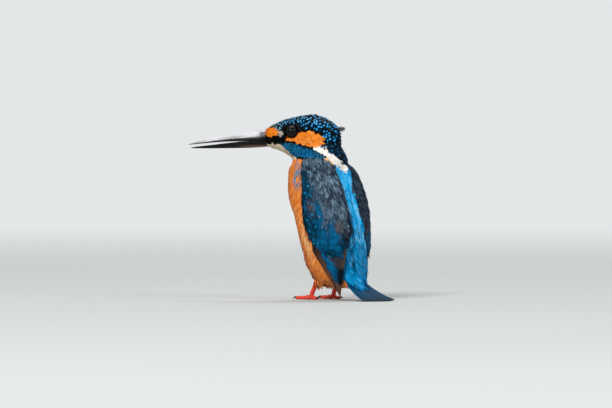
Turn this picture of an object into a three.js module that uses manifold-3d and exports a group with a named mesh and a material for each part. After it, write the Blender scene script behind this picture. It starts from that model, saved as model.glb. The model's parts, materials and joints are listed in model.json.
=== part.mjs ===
// A common kingfisher, life size, standing on the floor on its feet and its tail.
// Millimetres, +Z up. While it is modelled the bird's trunk faces -Y, its left side is towards +X and its middle
// plane is x = 0. The whole group is then shifted so that the origin is on the floor under its box's middle.
import * as THREE from "three";
import { mergeVertices } from "three/addons/utils/BufferGeometryUtils.js";
import Module from "manifold-3d";

const wasm = await Module();
wasm.setup();

// ---- driving dimensions ----
const GAP = 0.3; // clearance between two pieces that meet
const SPAN = 300; // larger than anything here, for half spaces

const HEAD_AT = new THREE.Vector3(7.2, -10.8, 85.9); // middle of the skull
const HEAD_TURN = THREE.MathUtils.degToRad(49); // the head looks over the left shoulder
const NECK_CUT_Z = 76.0; // the head is parted from the neck here
const TRUNK_CUT_Z = 70.4; // and the neck from the trunk here

// Trunk sections, from the dome under the neck down to the end of the tail coverts. y and z are a section's centre,
// across is half its width, front and back are half its depth, and pitch (degrees) tips it back to the tail.
const TRUNK = [
  { y: -6.6, z: 75.0, across: 8.0, front: 9.5, back: 8.0, pitch: 0 },
  { y: -6.4, z: 72.2, across: 14.0, front: 14.6, back: 14.0, pitch: 0 },
  { y: -5.4, z: 67.6, across: 16.2, front: 17.3, back: 15.9, pitch: 0 },
  { y: -3.9, z: 62.4, across: 17.8, front: 18.4, back: 17.6, pitch: 0 },
  { y: -2.6, z: 57.2, across: 18.5, front: 19.2, back: 18.2, pitch: 0 },
  { y: -1.2, z: 52.0, across: 18.7, front: 19.3, back: 18.3, pitch: 0 },
  { y: 0.8, z: 46.8, across: 18.4, front: 18.8, back: 18.0, pitch: 0 },
  { y: 2.3, z: 41.6, across: 18.0, front: 18.4, back: 17.8, pitch: 0 },
  { y: 3.8, z: 36.4, across: 17.8, front: 18.1, back: 17.5, pitch: 0 },
  { y: 5.0, z: 31.2, across: 17.1, front: 17.7, back: 16.8, pitch: 2 },
  { y: 6.2, z: 25.5, across: 15.9, front: 17.0, back: 15.6, pitch: 6 },
  { y: 7.9, z: 19.8, across: 14.2, front: 17.0, back: 13.8, pitch: 14 },
  { y: 11.0, z: 14.6, across: 11.6, front: 14.0, back: 11.7, pitch: 28 },
  { y: 15.8, z: 12.0, across: 8.4, front: 8.8, back: 8.4, pitch: 41 },
  { y: 20.4, z: 10.1, across: 6.4, front: 4.8, back: 5.3, pitch: 50 },
  { y: 25.0, z: 7.8, across: 5.0, front: 2.6, back: 2.7, pitch: 54 },
];
// Neck sections: centre and radius.
const NECK = [
  { x: 0.0, y: -5.3, z: 62.0, radius: 13.0 },
  { x: 0.0, y: -5.7, z: 68.0, radius: 15.2 },
  { x: 0.0, y: -6.0, z: 73.8, radius: 14.6 },
  { x: 0.0, y: -5.7, z: 78.0, radius: 12.8 },
  { x: 0.7, y: -5.9, z: 82.0, radius: 11.4 },
  { x: 1.5, y: -6.5, z: 86.0, radius: 9.0 },
  { x: 2.0, y: -7.0, z: 89.0, radius: 5.0 },
];
// Head sections along the bill's direction, measured from the middle of the skull: distance forward, the height
// of the crown and the throat, and half the width.
const HEAD = [
  { ahead: 21.6, top: 2.0, bottom: -6.0, across: 4.0 },
  { ahead: 19.4, top: 3.7, bottom: -6.8, across: 4.8 },
  { ahead: 16.0, top: 5.9, bottom: -7.7, across: 6.0 },
  { ahead: 12.0, top: 7.7, bottom: -9.1, across: 7.2 },
  { ahead: 8.0, top: 9.0, bottom: -11.4, across: 8.3 },
  { ahead: 4.0, top: 9.8, bottom: -13.2, across: 9.3 },
  { ahead: 0.0, top: 10.5, bottom: -14.0, across: 10.1 },
  { ahead: -4.0, top: 10.9, bottom: -14.2, across: 10.7 },
  { ahead: -8.0, top: 10.4, bottom: -14.2, across: 10.8 },
  { ahead: -12.0, top: 8.9, bottom: -13.6, across: 10.1 },
  { ahead: -15.6, top: 6.6, bottom: -12.6, across: 8.7 },
  { ahead: -18.4, top: 3.8, bottom: -11.0, across: 6.6 },
  { ahead: -19.8, top: -0.6, bottom: -8.0, across: 3.6 },
];
const HEAD_FULLNESS = 2.3; // exponent of the head's rounded-square section
const CREST = { ahead: -17.0, up: 2.6, length: 4.6, radius: 1.7, rise: 4 }; // loose feather tips at the nape

// Bill sections, in the head's frame: distance forward, upper and lower edge of each mandible, half the width.
const UPPER_BILL = [
  { ahead: 15.5, top: 2.5, bottom: -3.0, across: 3.6 },
  { ahead: 21.3, top: 2.6, bottom: -3.3, across: 4.1 },
  { ahead: 27.6, top: 1.8, bottom: -3.4, across: 3.5 },
  { ahead: 34.8, top: 0.6, bottom: -3.5, across: 2.75 },
  { ahead: 41.0, top: -0.6, bottom: -3.75, across: 2.15 },
  { ahead: 47.0, top: -1.8, bottom: -4.2, across: 1.55 },
  { ahead: 53.0, top: -3.2, bottom: -4.75, across: 0.95 },
  { ahead: 57.2, top: -4.3, bottom: -5.15, across: 0.5 },
  { ahead: 59.6, top: -5.0, bottom: -5.3, across: 0.2 },
];
const LOWER_BILL = [
  { ahead: 15.5, top: -3.5, bottom: -6.0, across: 3.4 },
  { ahead: 21.3, top: -3.65, bottom: -6.6, across: 3.9 },
  { ahead: 27.6, top: -3.75, bottom: -6.95, across: 3.3 },
  { ahead: 34.8, top: -3.9, bottom: -7.1, across: 2.6 },
  { ahead: 41.0, top: -4.5, bottom: -7.15, across: 2.0 },
  { ahead: 47.0, top: -5.15, bottom: -7.2, across: 1.45 },
  { ahead: 53.0, top: -5.85, bottom: -7.2, across: 0.9 },
  { ahead: 56.6, top: -6.35, bottom: -7.15, across: 0.5 },
  { ahead: 58.4, top: -6.7, bottom: -7.0, across: 0.2 },
];
const BILL_FULLNESS = 1.8; // a little leaner than an ellipse, so that the culmen is a ridge

const EYE = { ahead: 6.0, up: 1.7, out: 6.7, radius: 3.1 }; // in the head's frame

// The folded left wing, by height: its leading edge, its inner edge beside the back, and how far it bows out.
const WING = [
  { z: 73.0, lead: [14.0, -5.0], inner: [7.4, 5.4], bow: 0.6 },
  { z: 70.5, lead: [15.8, -3.2], inner: [5.2, 8.2], bow: 1.3 },
  { z: 67.0, lead: [17.0, -1.6], inner: [4.0, 11.2], bow: 2.2 },
  { z: 60.0, lead: [18.2, 0.6], inner: [3.8, 14.6], bow: 3.2 },
  { z: 50.0, lead: [18.9, 1.8], inner: [3.3, 18.5], bow: 4.2 },
  { z: 40.0, lead: [18.5, 2.9], inner: [2.9, 20.9], bow: 4.4 },
  { z: 32.0, lead: [17.9, 5.4], inner: [3.1, 22.3], bow: 4.2 },
  { z: 25.0, lead: [16.8, 7.9], inner: [4.0, 22.4], bow: 3.4 },
  { z: 18.0, lead: [15.2, 11.2], inner: [5.9, 22.3], bow: 2.3 },
  { z: 12.0, lead: [13.4, 13.9], inner: [7.0, 22.0], bow: 1.3 },
  { z: 6.0, lead: [11.1, 16.7], inner: [7.4, 21.4], bow: 0.7 },
  { z: 1.2, lead: [8.6, 19.2], inner: [7.8, 20.4], bow: 0.2 },
];
// The pad of scapulars and wing coverts.
const COVERTS = { thick: 2.3, edge: 1.4, end: 0.52, endDip: 0.1, depth: 1.6 };
const FEATHER_THICK = 0.75;
const FEATHER_STEP = 0.14; // each flight feather lies this much further out than the one below it
// Flight feathers on the folded wing, from the outermost primary at the leading edge to the inner tertials.
// from and to are places along the wing, at and drift its line across it (0 leading edge, 1 inner edge).
const FLIGHT = [
  { from: 0.42, to: 0.995, at: 0.11, drift: 0.41, wide: 0.26 },
  { from: 0.42, to: 0.96, at: 0.22, drift: 0.4, wide: 0.28 },
  { from: 0.42, to: 0.92, at: 0.34, drift: 0.34, wide: 0.28 },
  { from: 0.42, to: 0.87, at: 0.46, drift: 0.24, wide: 0.28 },
  { from: 0.42, to: 0.82, at: 0.58, drift: 0.16, wide: 0.28 },
  { from: 0.42, to: 0.81, at: 0.7, drift: 0.1, wide: 0.28 },
  { from: 0.42, to: 0.78, at: 0.82, drift: 0.02, wide: 0.26 },
];

// The tail: twelve feathers on one curve in the middle plane, from the root to the tip that lies on the floor.
const TAIL_ROOT = new THREE.Vector3(0, 14.0, 17.5);
const TAIL_BEND = new THREE.Vector3(0, 28.5, 2.8);
const TAIL_TIP = new THREE.Vector3(0, 46.0, 0.2);
const TAIL_PAIRS = 6;
const TAIL = { rootHalf: 1.6, tipHalf: 3.0, fan: 0.055, spread: 0.5, shorter: 0.022, step: 0.12, thick: 0.7 };

const LEG = { hip: [6.6, 2.6, 14.5], ankle: [7.6, -3.4, 2.7], radii: [3.4, 2.2, 1.15, 1.15] };
// Toes of the left foot: heading (degrees outwards from straight ahead), reach of the toe, claw and thickness.
const TOES = [
  { heading: -17, reach: 7.2, claw: 2.4, radius: 0.95 },
  { heading: 2, reach: 10.6, claw: 2.8, radius: 1.05 },
  { heading: 13, reach: 9.6, claw: 2.6, radius: 1.0 },
  { heading: 176, reach: 4.6, claw: 2.6, radius: 0.95 },
];
const TOE_SHARES = [1.05, 1.1, 1.0, 0.9, 0.52, 0.3]; // a toe's radius along it, down to the claw's tip
const TOE_HEIGHT = 0.78; // a toe's middle, just under its radius, so that the sole has a small flat

const COLOURS = {
  crown: 0x10384f, breast: 0xd9722a, back: 0x1593cf, wing: 0x14455f, flight: 0x12405f, tail: 0x0b3f6b,
  bill: 0x1d1b20, eye: 0x120d0b, leg: 0xe0431c,
};

// ---- shape tools ----

// Value of a smooth curve through evenly spaced numbers, at t from 0 to 1.
function along(values, t) {
  const last = values.length - 1;
  const place = Math.min(Math.max(t, 0), 1) * last;
  const i = Math.min(Math.floor(place), last - 1);
  const near = values[Math.max(i - 1, 0)];
  const far = values[Math.min(i + 2, last)];
  const f = place - i;
  const slopeA = (values[i + 1] - near) / 2;
  const slopeB = (far - values[i]) / 2;
  const rise = values[i + 1] - values[i];
  return values[i] + f * (slopeA + f * (3 * rise - 2 * slopeA - slopeB + f * (slopeA + slopeB - 2 * rise)));
}

// One section of a list of sections, at t, with each of its numbers taken from its own smooth curve.
function sectionAt(sections, t) {
  const made = {};
  for (const key of Object.keys(sections[0])) made[key] = along(sections.map((s) => s[key]), t);
  return made;
}

// A closed body through rings of the same number of points, with a fan over each end.
function loft(rings) {
  const sides = rings[0].length;
  const places = rings.flat();
  const faces = [];
  for (let r = 0; r + 1 < rings.length; r++) {
    for (let i = 0; i < sides; i++) {
      const a = r * sides + i;
      const b = r * sides + ((i + 1) % sides);
      faces.push(a, b, b + sides, a, b + sides, a + sides);
    }
  }
  for (const [ring, first] of [[rings[0], 0], [rings.at(-1), (rings.length - 1) * sides]]) {
    const middle = places.length;
    places.push(ring.reduce((sum, p) => sum.add(p), new THREE.Vector3()).divideScalar(sides));
    for (let i = 0; i < sides; i++) {
      const next = first + ((i + 1) % sides);
      faces.push(...(first === 0 ? [middle, next, first + i] : [middle, first + i, next]));
    }
  }
  return new THREE.BufferGeometry().setFromPoints(places).setIndex(faces);
}

// A slab between two grids of points of the same size: its underside and its outside.
function slab(under, over) {
  const rows = under.length;
  const columns = under[0].length;
  const places = [...under.flat(), ...over.flat()];
  const lift = rows * columns;
  const faces = [];
  const quad = (a, b, c, d) => faces.push(a, b, c, a, c, d);
  for (let r = 0; r + 1 < rows; r++) {
    for (let c = 0; c + 1 < columns; c++) {
      const a = r * columns + c;
      quad(a, a + columns, a + columns + 1, a + 1);
      quad(a + lift, a + lift + 1, a + lift + columns + 1, a + lift + columns);
    }
  }
  const rim = [];
  for (let c = 0; c < columns - 1; c++) rim.push(c);
  for (let r = 0; r < rows - 1; r++) rim.push(r * columns + columns - 1);
  for (let c = columns - 1; c > 0; c--) rim.push((rows - 1) * columns + c);
  for (let r = rows - 1; r > 0; r--) rim.push(r * columns);
  rim.forEach((a, i) => {
    const b = rim[(i + 1) % rim.length];
    quad(a, b, b + lift, a + lift);
  });
  return new THREE.BufferGeometry().setFromPoints(places).setIndex(faces);
}

// A geometry as a manifold-3d solid, with its faces turned outwards.
function solid(geometry) {
  for (const name of ["normal", "uv"]) geometry.deleteAttribute(name);
  const merged = mergeVertices(geometry, 1e-4);
  const triVerts = new Uint32Array(merged.index.array);
  const vertProperties = merged.attributes.position.array;
  const made = new wasm.Manifold(new wasm.Mesh({ numProp: 3, vertProperties, triVerts }));
  if (made.volume() > 0) return made;
  for (let i = 0; i < triVerts.length; i += 3) triVerts.subarray(i + 1, i + 3).reverse();
  return new wasm.Manifold(new wasm.Mesh({ numProp: 3, vertProperties, triVerts }));
}

const joined = (solids) => solids.reduce((all, next) => all.add(next));

// The largest body of a solid: a cut may leave crumbs beside it.
const mainBody = (made) => made.decompose().reduce((a, b) => (b.volume() > a.volume() ? b : a));

// All the space above or below a height.
function halfSpace(z, above) {
  const box = new THREE.BoxGeometry(SPAN, SPAN, SPAN);
  return solid(box.translate(0, 0, z + (above ? SPAN / 2 : -SPAN / 2)));
}
const FLOOR = halfSpace(0, false);

function toGeometry(made) {
  const mesh = made.getMesh();
  const geometry = new THREE.BufferGeometry();
  geometry.setAttribute("position", new THREE.BufferAttribute(Float32Array.from(mesh.vertProperties), 3));
  geometry.setIndex(new THREE.BufferAttribute(Uint32Array.from(mesh.triVerts), 1));
  geometry.computeVertexNormals();
  return geometry;
}

const model = new THREE.Group();
function addPiece(name, made, colour, roughness = 0.75) {
  const material = new THREE.MeshStandardMaterial({ color: colour, roughness, metalness: 0 });
  const mesh = new THREE.Mesh(toGeometry(mainBody(made)), material);
  mesh.name = name;
  model.add(mesh);
}

// ---- trunk, neck and head ----

function ringOf(sides, place) {
  return Array.from({ length: sides }, (_, i) => place((i / sides) * 2 * Math.PI));
}

// A point on a rounded-square outline of unit size: exponent 2 is a circle.
function rounded(angle, exponent) {
  const power = 2 / exponent;
  const part = (v) => Math.sign(v) * Math.abs(v) ** power;
  return [part(Math.cos(angle)), part(Math.sin(angle))];
}

function trunkBody(grow) {
  const sides = 24;
  const steps = 20;
  const rings = [];
  for (let k = 0; k <= steps; k++) {
    const s = sectionAt(TRUNK, k / steps);
    const tip = THREE.MathUtils.degToRad(s.pitch);
    rings.push(ringOf(sides, (angle) => {
      const out = Math.sin(angle) * (s.across + grow);
      const back = Math.cos(angle) * ((Math.cos(angle) > 0 ? s.back : s.front) + grow);
      return new THREE.Vector3(out, s.y + back * Math.cos(tip), s.z + back * Math.sin(tip));
    }));
  }
  return solid(loft(rings));
}

function neckBody(grow) {
  const sides = 22;
  const steps = 8;
  const rings = [];
  for (let k = 0; k <= steps; k++) {
    const s = sectionAt(NECK, k / steps);
    rings.push(ringOf(sides, (angle) => new THREE.Vector3(
      s.x + Math.cos(angle) * (s.radius + grow), s.y + Math.sin(angle) * (s.radius + grow), s.z)));
  }
  return solid(loft(rings));
}

// Sections of the head or the bill, lofted along -Y in the head's own frame.
function alongHead(sections, sides, steps, exponent, grow) {
  const rings = [];
  for (let k = 0; k <= steps; k++) {
    const s = sectionAt(sections, k / steps);
    const middle = (s.top + s.bottom) / 2;
    const half = (s.top - s.bottom) / 2;
    rings.push(ringOf(sides, (angle) => {
      const [c, u] = rounded(angle, exponent);
      return new THREE.Vector3(c * (s.across + grow), -s.ahead, middle + u * (half + grow));
    }));
  }
  return loft(rings);
}

// Places a geometry of the head's frame on the neck.
function onNeck(geometry) {
  return solid(geometry.rotateZ(HEAD_TURN).translate(HEAD_AT.x, HEAD_AT.y, HEAD_AT.z));
}

function headBody(grow) {
  const crest = new THREE.ConeGeometry(CREST.radius + grow, CREST.length, 7);
  crest.rotateX(THREE.MathUtils.degToRad(CREST.rise)).translate(0, -CREST.ahead + CREST.length / 2, CREST.up);
  return onNeck(alongHead(HEAD, 22, 15, HEAD_FULLNESS, grow)).add(onNeck(crest));
}

const eyeBall = (side, grow) =>
  onNeck(new THREE.SphereGeometry(EYE.radius + grow, 12, 8).translate(side * EYE.out, -EYE.ahead, EYE.up));
const upperBill = (grow) => onNeck(alongHead(UPPER_BILL, 12, 10, BILL_FULLNESS, grow));
const lowerBill = (grow) => onNeck(alongHead(LOWER_BILL, 12, 10, BILL_FULLNESS, grow));

const flesh = (grow) => joined([trunkBody(grow), neckBody(grow), headBody(grow)]);
const body = flesh(0);
const clearOfFlesh = flesh(GAP);

function addBody() {
  const features = joined([upperBill(GAP), lowerBill(GAP), eyeBall(1, GAP), eyeBall(-1, GAP)]);
  const aboveNeck = halfSpace(NECK_CUT_Z, true);
  const belowNeck = halfSpace(NECK_CUT_Z - GAP, false);
  const aboveTrunk = halfSpace(TRUNK_CUT_Z, true);
  const belowTrunk = halfSpace(TRUNK_CUT_Z - GAP, false);
  addPiece("head", body.intersect(aboveNeck).subtract(features), COLOURS.crown);
  addPiece("neck", body.intersect(belowNeck).intersect(aboveTrunk).subtract(features), COLOURS.back);
  addPiece("trunk", body.intersect(belowTrunk), COLOURS.breast);
  addPiece("upper_bill", upperBill(0), COLOURS.bill, 0.35);
  addPiece("lower_bill", lowerBill(0).subtract(upperBill(GAP)), COLOURS.bill, 0.35);
  addPiece("eye_left", eyeBall(1, 0), COLOURS.eye, 0.1);
  addPiece("eye_right", eyeBall(-1, 0), COLOURS.eye, 0.1);
}

// ---- wings ----

// A place on the folded wing's sheet: s runs from shoulder to tip, v from the leading to the inner edge.
function wingSheet(side, s, v) {
  const pick = (read) => along(WING.map(read), s);
  const lead = new THREE.Vector3(pick((w) => w.lead[0]), pick((w) => w.lead[1]), pick((w) => w.z));
  const inner = new THREE.Vector3(pick((w) => w.inner[0]), pick((w) => w.inner[1]), lead.z);
  const across = inner.clone().sub(lead);
  const out = new THREE.Vector3(across.y, -across.x, 0).normalize();
  const bow = 4 * pick((w) => w.bow);
  const place = lead.clone().addScaledVector(across, v).addScaledVector(out, bow * v * (1 - v));
  const turn = Math.atan2(bow * (2 * v - 1), across.length());
  out.applyAxisAngle(new THREE.Vector3(0, 0, 1), turn);
  place.x *= side;
  out.x *= side;
  return { place, out };
}

// A slab of the wing's sheet. reach gives, for each row and column in 0..1, its place s and v and the lowest and
// highest point over the sheet there.
function wingSlab(side, rows, columns, reach) {
  const under = [];
  const over = [];
  for (let r = 0; r <= rows; r++) {
    under.push([]);
    over.push([]);
    for (let c = 0; c <= columns; c++) {
      const { s, v, low, high } = reach(r / rows, c / columns);
      const { place, out } = wingSheet(side, s, v);
      under[r].push(place.clone().addScaledVector(out, low));
      over[r].push(place.clone().addScaledVector(out, high));
    }
  }
  return solid(slab(under, over));
}

// The pad of scapulars and coverts, thick in the middle and thin at its rim.
function covertPad(side, grow) {
  return wingSlab(side, 13, 8, (r, c) => {
    const end = COVERTS.end + COVERTS.endDip * Math.sin(c * Math.PI);
    const dome = Math.sin(Math.PI * (0.08 + 0.84 * c)) ** 0.5;
    const taper = Math.min(1, 2.6 * r + 0.25, 2.4 * (1 - r) + 0.35);
    const high = (COVERTS.edge + (COVERTS.thick - COVERTS.edge) * dome) * taper + grow;
    const low = -COVERTS.depth - grow;
    const margin = grow / 20; // the sheet is about 20 across, so this is the same growth sideways
    return { s: r * (end + margin), v: c + (2 * c - 1) * margin, low, high };
  });
}

// One flight feather: narrow at its root, parallel, and rounded at its tip.
function flightFeather(side, feather, layer) {
  return wingSlab(side, 6, 1, (r, c) => {
    const s = feather.from + (feather.to - feather.from) * r;
    const round = Math.sqrt(Math.max(1 - Math.max(0, (r - 0.72) / 0.28) ** 2.4, 0.02));
    const half = (feather.wide / 2) * round;
    const v = THREE.MathUtils.clamp(feather.at + feather.drift * r ** 2 + (2 * c - 1) * half, 0, 1);
    const low = layer * FEATHER_STEP * (1 - 0.6 * r) - 0.45;
    return { s, v, low, high: low + FEATHER_THICK };
  });
}

function addWing(side, label) {
  const pad = covertPad(side, 0).subtract(clearOfFlesh);
  const feathers = joined(FLIGHT.map((feather, layer) => flightFeather(side, feather, layer)));
  addPiece(`wing_${label}`, pad, COLOURS.wing);
  addPiece(`flight_${label}`, feathers.subtract(covertPad(side, GAP)).subtract(clearOfFlesh), COLOURS.flight);
}

// ---- tail ----

function tailFeather(side, pair) {
  const curve = new THREE.QuadraticBezierCurve3(TAIL_ROOT, TAIL_BEND, TAIL_TIP);
  const rows = 5;
  const under = [];
  const over = [];
  const reach = 1 - TAIL.shorter * pair;
  for (let r = 0; r <= rows; r++) {
    const t = (r / rows) * reach;
    const middle = curve.getPoint(t);
    const tangent = curve.getTangent(t);
    const up = new THREE.Vector3(0, -tangent.z, tangent.y);
    const run = t * curve.getLength();
    const round = Math.sqrt(Math.max(1 - Math.max(0, (r / rows - 0.8) / 0.2) ** 2.6, 0.03));
    const half = THREE.MathUtils.lerp(TAIL.rootHalf, TAIL.tipHalf, r / rows) * round;
    const centre = side * ((0.5 + pair) * TAIL.spread + run * TAIL.fan * (pair * 0.52 + 0.45));
    const row = [-half, 0, half].map((x) => {
      const place = middle.clone().addScaledVector(up, -TAIL.step * pair);
      return place.setX(centre + side * x);
    });
    under.push(row.map((p) => p.clone().addScaledVector(up, -TAIL.thick / 2)));
    over.push(row.map((p) => p.clone().addScaledVector(up, TAIL.thick / 2)));
  }
  return solid(slab(under, over));
}

function addTail() {
  const feathers = [];
  for (let pair = 0; pair < TAIL_PAIRS; pair++) feathers.push(tailFeather(1, pair), tailFeather(-1, pair));
  addPiece("tail", joined(feathers).subtract(clearOfFlesh).subtract(FLOOR), COLOURS.tail);
}

// ---- legs and feet ----

// A round tube through places with a radius at each.
function tube(places, radii, sides, steps) {
  const curve = new THREE.CatmullRomCurve3(places);
  const rings = [];
  for (let k = 0; k <= steps; k++) {
    const middle = curve.getPoint(k / steps);
    const tangent = curve.getTangent(k / steps);
    const beside = new THREE.Vector3(0, 0, 1).cross(tangent);
    if (beside.length() < 0.2) beside.set(1, 0, 0);
    beside.normalize();
    const over = tangent.clone().cross(beside).normalize();
    const radius = along(radii, k / steps);
    rings.push(ringOf(sides, (a) => middle.clone()
      .addScaledVector(beside, Math.cos(a) * radius).addScaledVector(over, Math.sin(a) * radius)));
  }
  return solid(loft(rings));
}

function legBody(side) {
  const at = ([x, y, z]) => new THREE.Vector3(side * x, y, z);
  const knee = at(LEG.hip).lerp(at(LEG.ankle), 0.5);
  return tube([at(LEG.hip), knee, at(LEG.ankle)], LEG.radii, 10, 6);
}

// A toe and its claw, from the ankle along a heading on the floor.
function toeBody(side, toe) {
  const angle = THREE.MathUtils.degToRad(toe.heading);
  const heading = new THREE.Vector3(side * Math.sin(angle), -Math.cos(angle), 0);
  const ankle = new THREE.Vector3(side * LEG.ankle[0], LEG.ankle[1], 0);
  const at = (run, height) => ankle.clone().addScaledVector(heading, run).setZ(height);
  const places = [at(-0.2, 1.5), at(toe.reach * 0.35, 0.95), at(toe.reach * 0.7, TOE_HEIGHT),
    at(toe.reach, TOE_HEIGHT), at(toe.reach + toe.claw * 0.6, 1.1), at(toe.reach + toe.claw, 0.5)];
  return tube(places, TOE_SHARES.map((share) => share * toe.radius), 6, 7);
}

function addLeg(side, label) {
  const foot = joined(TOES.map((toe) => toeBody(side, toe)));
  const leg = legBody(side);
  const aboveAnkle = halfSpace(LEG.ankle[2], true);
  const belowAnkle = halfSpace(LEG.ankle[2] - GAP, false);
  addPiece(`leg_${label}`, leg.intersect(aboveAnkle).subtract(clearOfFlesh), COLOURS.leg, 0.55);
  addPiece(`foot_${label}`, foot.intersect(belowAnkle).subtract(FLOOR), COLOURS.leg, 0.55);
}

addBody();
addWing(1, "left");
addWing(-1, "right");
addTail();
addLeg(1, "left");
addLeg(-1, "right");

// The origin goes on the floor under the middle of the whole bird's box.
const box = new THREE.Box3().setFromObject(model);
const middle = box.getCenter(new THREE.Vector3());
model.position.set(-middle.x, -middle.y, -box.min.z);

export default model;
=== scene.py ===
"""A common kingfisher, life size, on a plain studio floor: skin, plumage, bill, eyes, legs and feet."""
import json
import math

import bmesh
import bpy
import numpy as np
from bpy.props import FloatProperty, FloatVectorProperty, IntProperty, PointerProperty
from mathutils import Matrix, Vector
from mathutils.bvhtree import BVHTree

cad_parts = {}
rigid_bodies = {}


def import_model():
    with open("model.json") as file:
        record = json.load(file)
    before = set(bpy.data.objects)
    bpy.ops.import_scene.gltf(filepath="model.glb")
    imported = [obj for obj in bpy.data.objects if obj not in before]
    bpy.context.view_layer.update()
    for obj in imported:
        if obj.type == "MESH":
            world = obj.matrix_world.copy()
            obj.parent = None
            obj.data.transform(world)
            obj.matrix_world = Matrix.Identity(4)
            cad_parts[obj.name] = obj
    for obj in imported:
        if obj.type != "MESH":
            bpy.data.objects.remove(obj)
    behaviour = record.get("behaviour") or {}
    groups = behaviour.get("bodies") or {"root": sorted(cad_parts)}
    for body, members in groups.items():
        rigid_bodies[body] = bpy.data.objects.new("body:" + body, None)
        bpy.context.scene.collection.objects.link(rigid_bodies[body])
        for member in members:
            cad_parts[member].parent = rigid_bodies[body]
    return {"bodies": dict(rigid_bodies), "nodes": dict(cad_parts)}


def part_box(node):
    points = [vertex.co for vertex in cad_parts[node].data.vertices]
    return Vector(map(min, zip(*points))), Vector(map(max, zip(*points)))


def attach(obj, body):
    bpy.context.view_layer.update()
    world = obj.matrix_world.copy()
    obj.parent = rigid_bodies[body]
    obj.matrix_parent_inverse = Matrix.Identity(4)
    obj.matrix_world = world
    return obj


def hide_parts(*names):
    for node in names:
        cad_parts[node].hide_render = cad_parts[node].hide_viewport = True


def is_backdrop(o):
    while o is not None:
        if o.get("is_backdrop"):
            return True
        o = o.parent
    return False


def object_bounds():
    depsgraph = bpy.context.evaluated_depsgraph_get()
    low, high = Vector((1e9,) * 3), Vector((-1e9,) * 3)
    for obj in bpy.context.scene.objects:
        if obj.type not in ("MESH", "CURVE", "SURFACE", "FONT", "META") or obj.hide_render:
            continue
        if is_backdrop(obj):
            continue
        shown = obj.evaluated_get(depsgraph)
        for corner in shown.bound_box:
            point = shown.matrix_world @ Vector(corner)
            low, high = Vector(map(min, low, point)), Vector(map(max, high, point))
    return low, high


bl_info = {
    "name": "Kingfisher model",
    "version": (1, 0, 0),
    "blender": (4, 5, 0),
    "location": "3D View > Sidebar > Kingfisher",
    "description": "Dresses the solids of a kingfisher with skin, feathers, bill, eyes and feet",
    "category": "Object",
}

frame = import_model()
CAD_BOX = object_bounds()

# Lengths below are in millimetres, and MM turns them into Blender's metres.
MM = 0.001
UP = np.array([0.0, 0.0, 1.0])
BODY = next(iter(frame["bodies"]))


# ---- places on the bird ----

def middle_of(node):
    low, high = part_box(node)
    return (np.array(low) + np.array(high)) / 2 / MM


def unit(v):
    return v / np.maximum(np.linalg.norm(v, axis=-1, keepdims=True), 1e-9)


EYE_AHEAD, EYE_UP, EYE_RADIUS = 6.0, 1.7, 3.1
EYE_OPENING = 2.1  # half the eye's opening
EYES = {"left": middle_of("eye_left"), "right": middle_of("eye_right")}
SIDE = unit(EYES["left"] - EYES["right"])  # towards the head's left
AHEAD = unit(np.cross(SIDE, UP))  # the way the bill points
SKULL = (EYES["left"] + EYES["right"]) / 2 - EYE_AHEAD * AHEAD - EYE_UP * UP
CREST_ROOT, CREST_TIP = (-15.8, 2.9), (-22.4, 3.0)  # ahead of the skull's middle, and up
HEAD_ON_TRUNK = np.array([7.2, -10.8, 85.9])  # the skull's middle, counted from the trunk's own origin
ORIGIN = SKULL - HEAD_ON_TRUNK

# The trunk's middle line, by height.
AXIS_Z = [6.5, 10, 12, 15, 20, 25.5, 31, 41.6, 52, 62.4, 72]
AXIS_Y = [25, 20.4, 15.8, 11, 7.9, 6.2, 5, 2.3, -1.2, -3.9, -6.4]

# The line that the plumage lies along, from the bill's root over the head and down to the tail.
SPINE = np.array([
    [27.0, -28.0, 85.0], [20.0, -22.0, 85.3], [13.5, -16.3, 86.0], [7.2, -10.8, 86.0], [2.4, -6.8, 84.0],
    [0.2, -5.2, 79.0], [0.0, -5.6, 72.0], [0.0, -4.2, 63.0], [0.0, -1.2, 52.0], [0.0, 2.6, 40.0],
    [0.0, 5.5, 29.0], [0.0, 9.5, 20.0], [0.0, 15.5, 13.5], [0.0, 24.0, 6.5], [0.0, 36.0, 1.0]])

# The folded left wing's sheet, by height: leading edge, inner edge and how far it bows out between them.
WING_Z = np.array([73.0, 70.5, 67.0, 60.0, 50.0, 40.0, 32.0, 25.0, 18.0, 12.0, 6.0, 1.2])
WING_LEAD = np.array([
    [14.0, -5.0], [15.8, -3.2], [17.0, -1.6], [18.2, 0.6], [18.9, 1.8], [18.5, 2.9],
    [17.9, 5.4], [16.8, 7.9], [15.2, 11.2], [13.4, 13.9], [11.1, 16.7], [8.6, 19.2]])
WING_INNER = np.array([
    [7.4, 5.4], [5.2, 8.2], [4.0, 11.2], [3.8, 14.6], [3.3, 18.5], [2.9, 20.9],
    [3.1, 22.3], [4.0, 22.4], [5.9, 22.3], [7.0, 22.0], [7.4, 21.4], [7.8, 20.4]])
WING_BOW = np.array([0.6, 1.3, 2.2, 3.2, 4.2, 4.4, 4.2, 3.4, 2.3, 1.3, 0.7, 0.2])

TAIL_CURVE = np.array([[0, 14.0, 17.5], [0, 28.5, 2.8], [0, 46.0, 0.2]])  # root, bend and tip

ANKLE = np.array([7.6, -3.4, 2.7])
HIP = np.array([6.6, 2.6, 14.5])
# Toes of the left foot: heading in degrees outwards, reach, claw and thickness.
TOES = [(-17, 7.2, 2.4, 0.95), (2, 10.6, 2.8, 1.05), (13, 9.6, 2.6, 1.0), (176, 4.6, 2.6, 0.95)]


def smoothstep(low, high, x):
    t = np.clip((x - low) / (high - low), 0, 1)
    return t * t * (3 - 2 * t)


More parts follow.
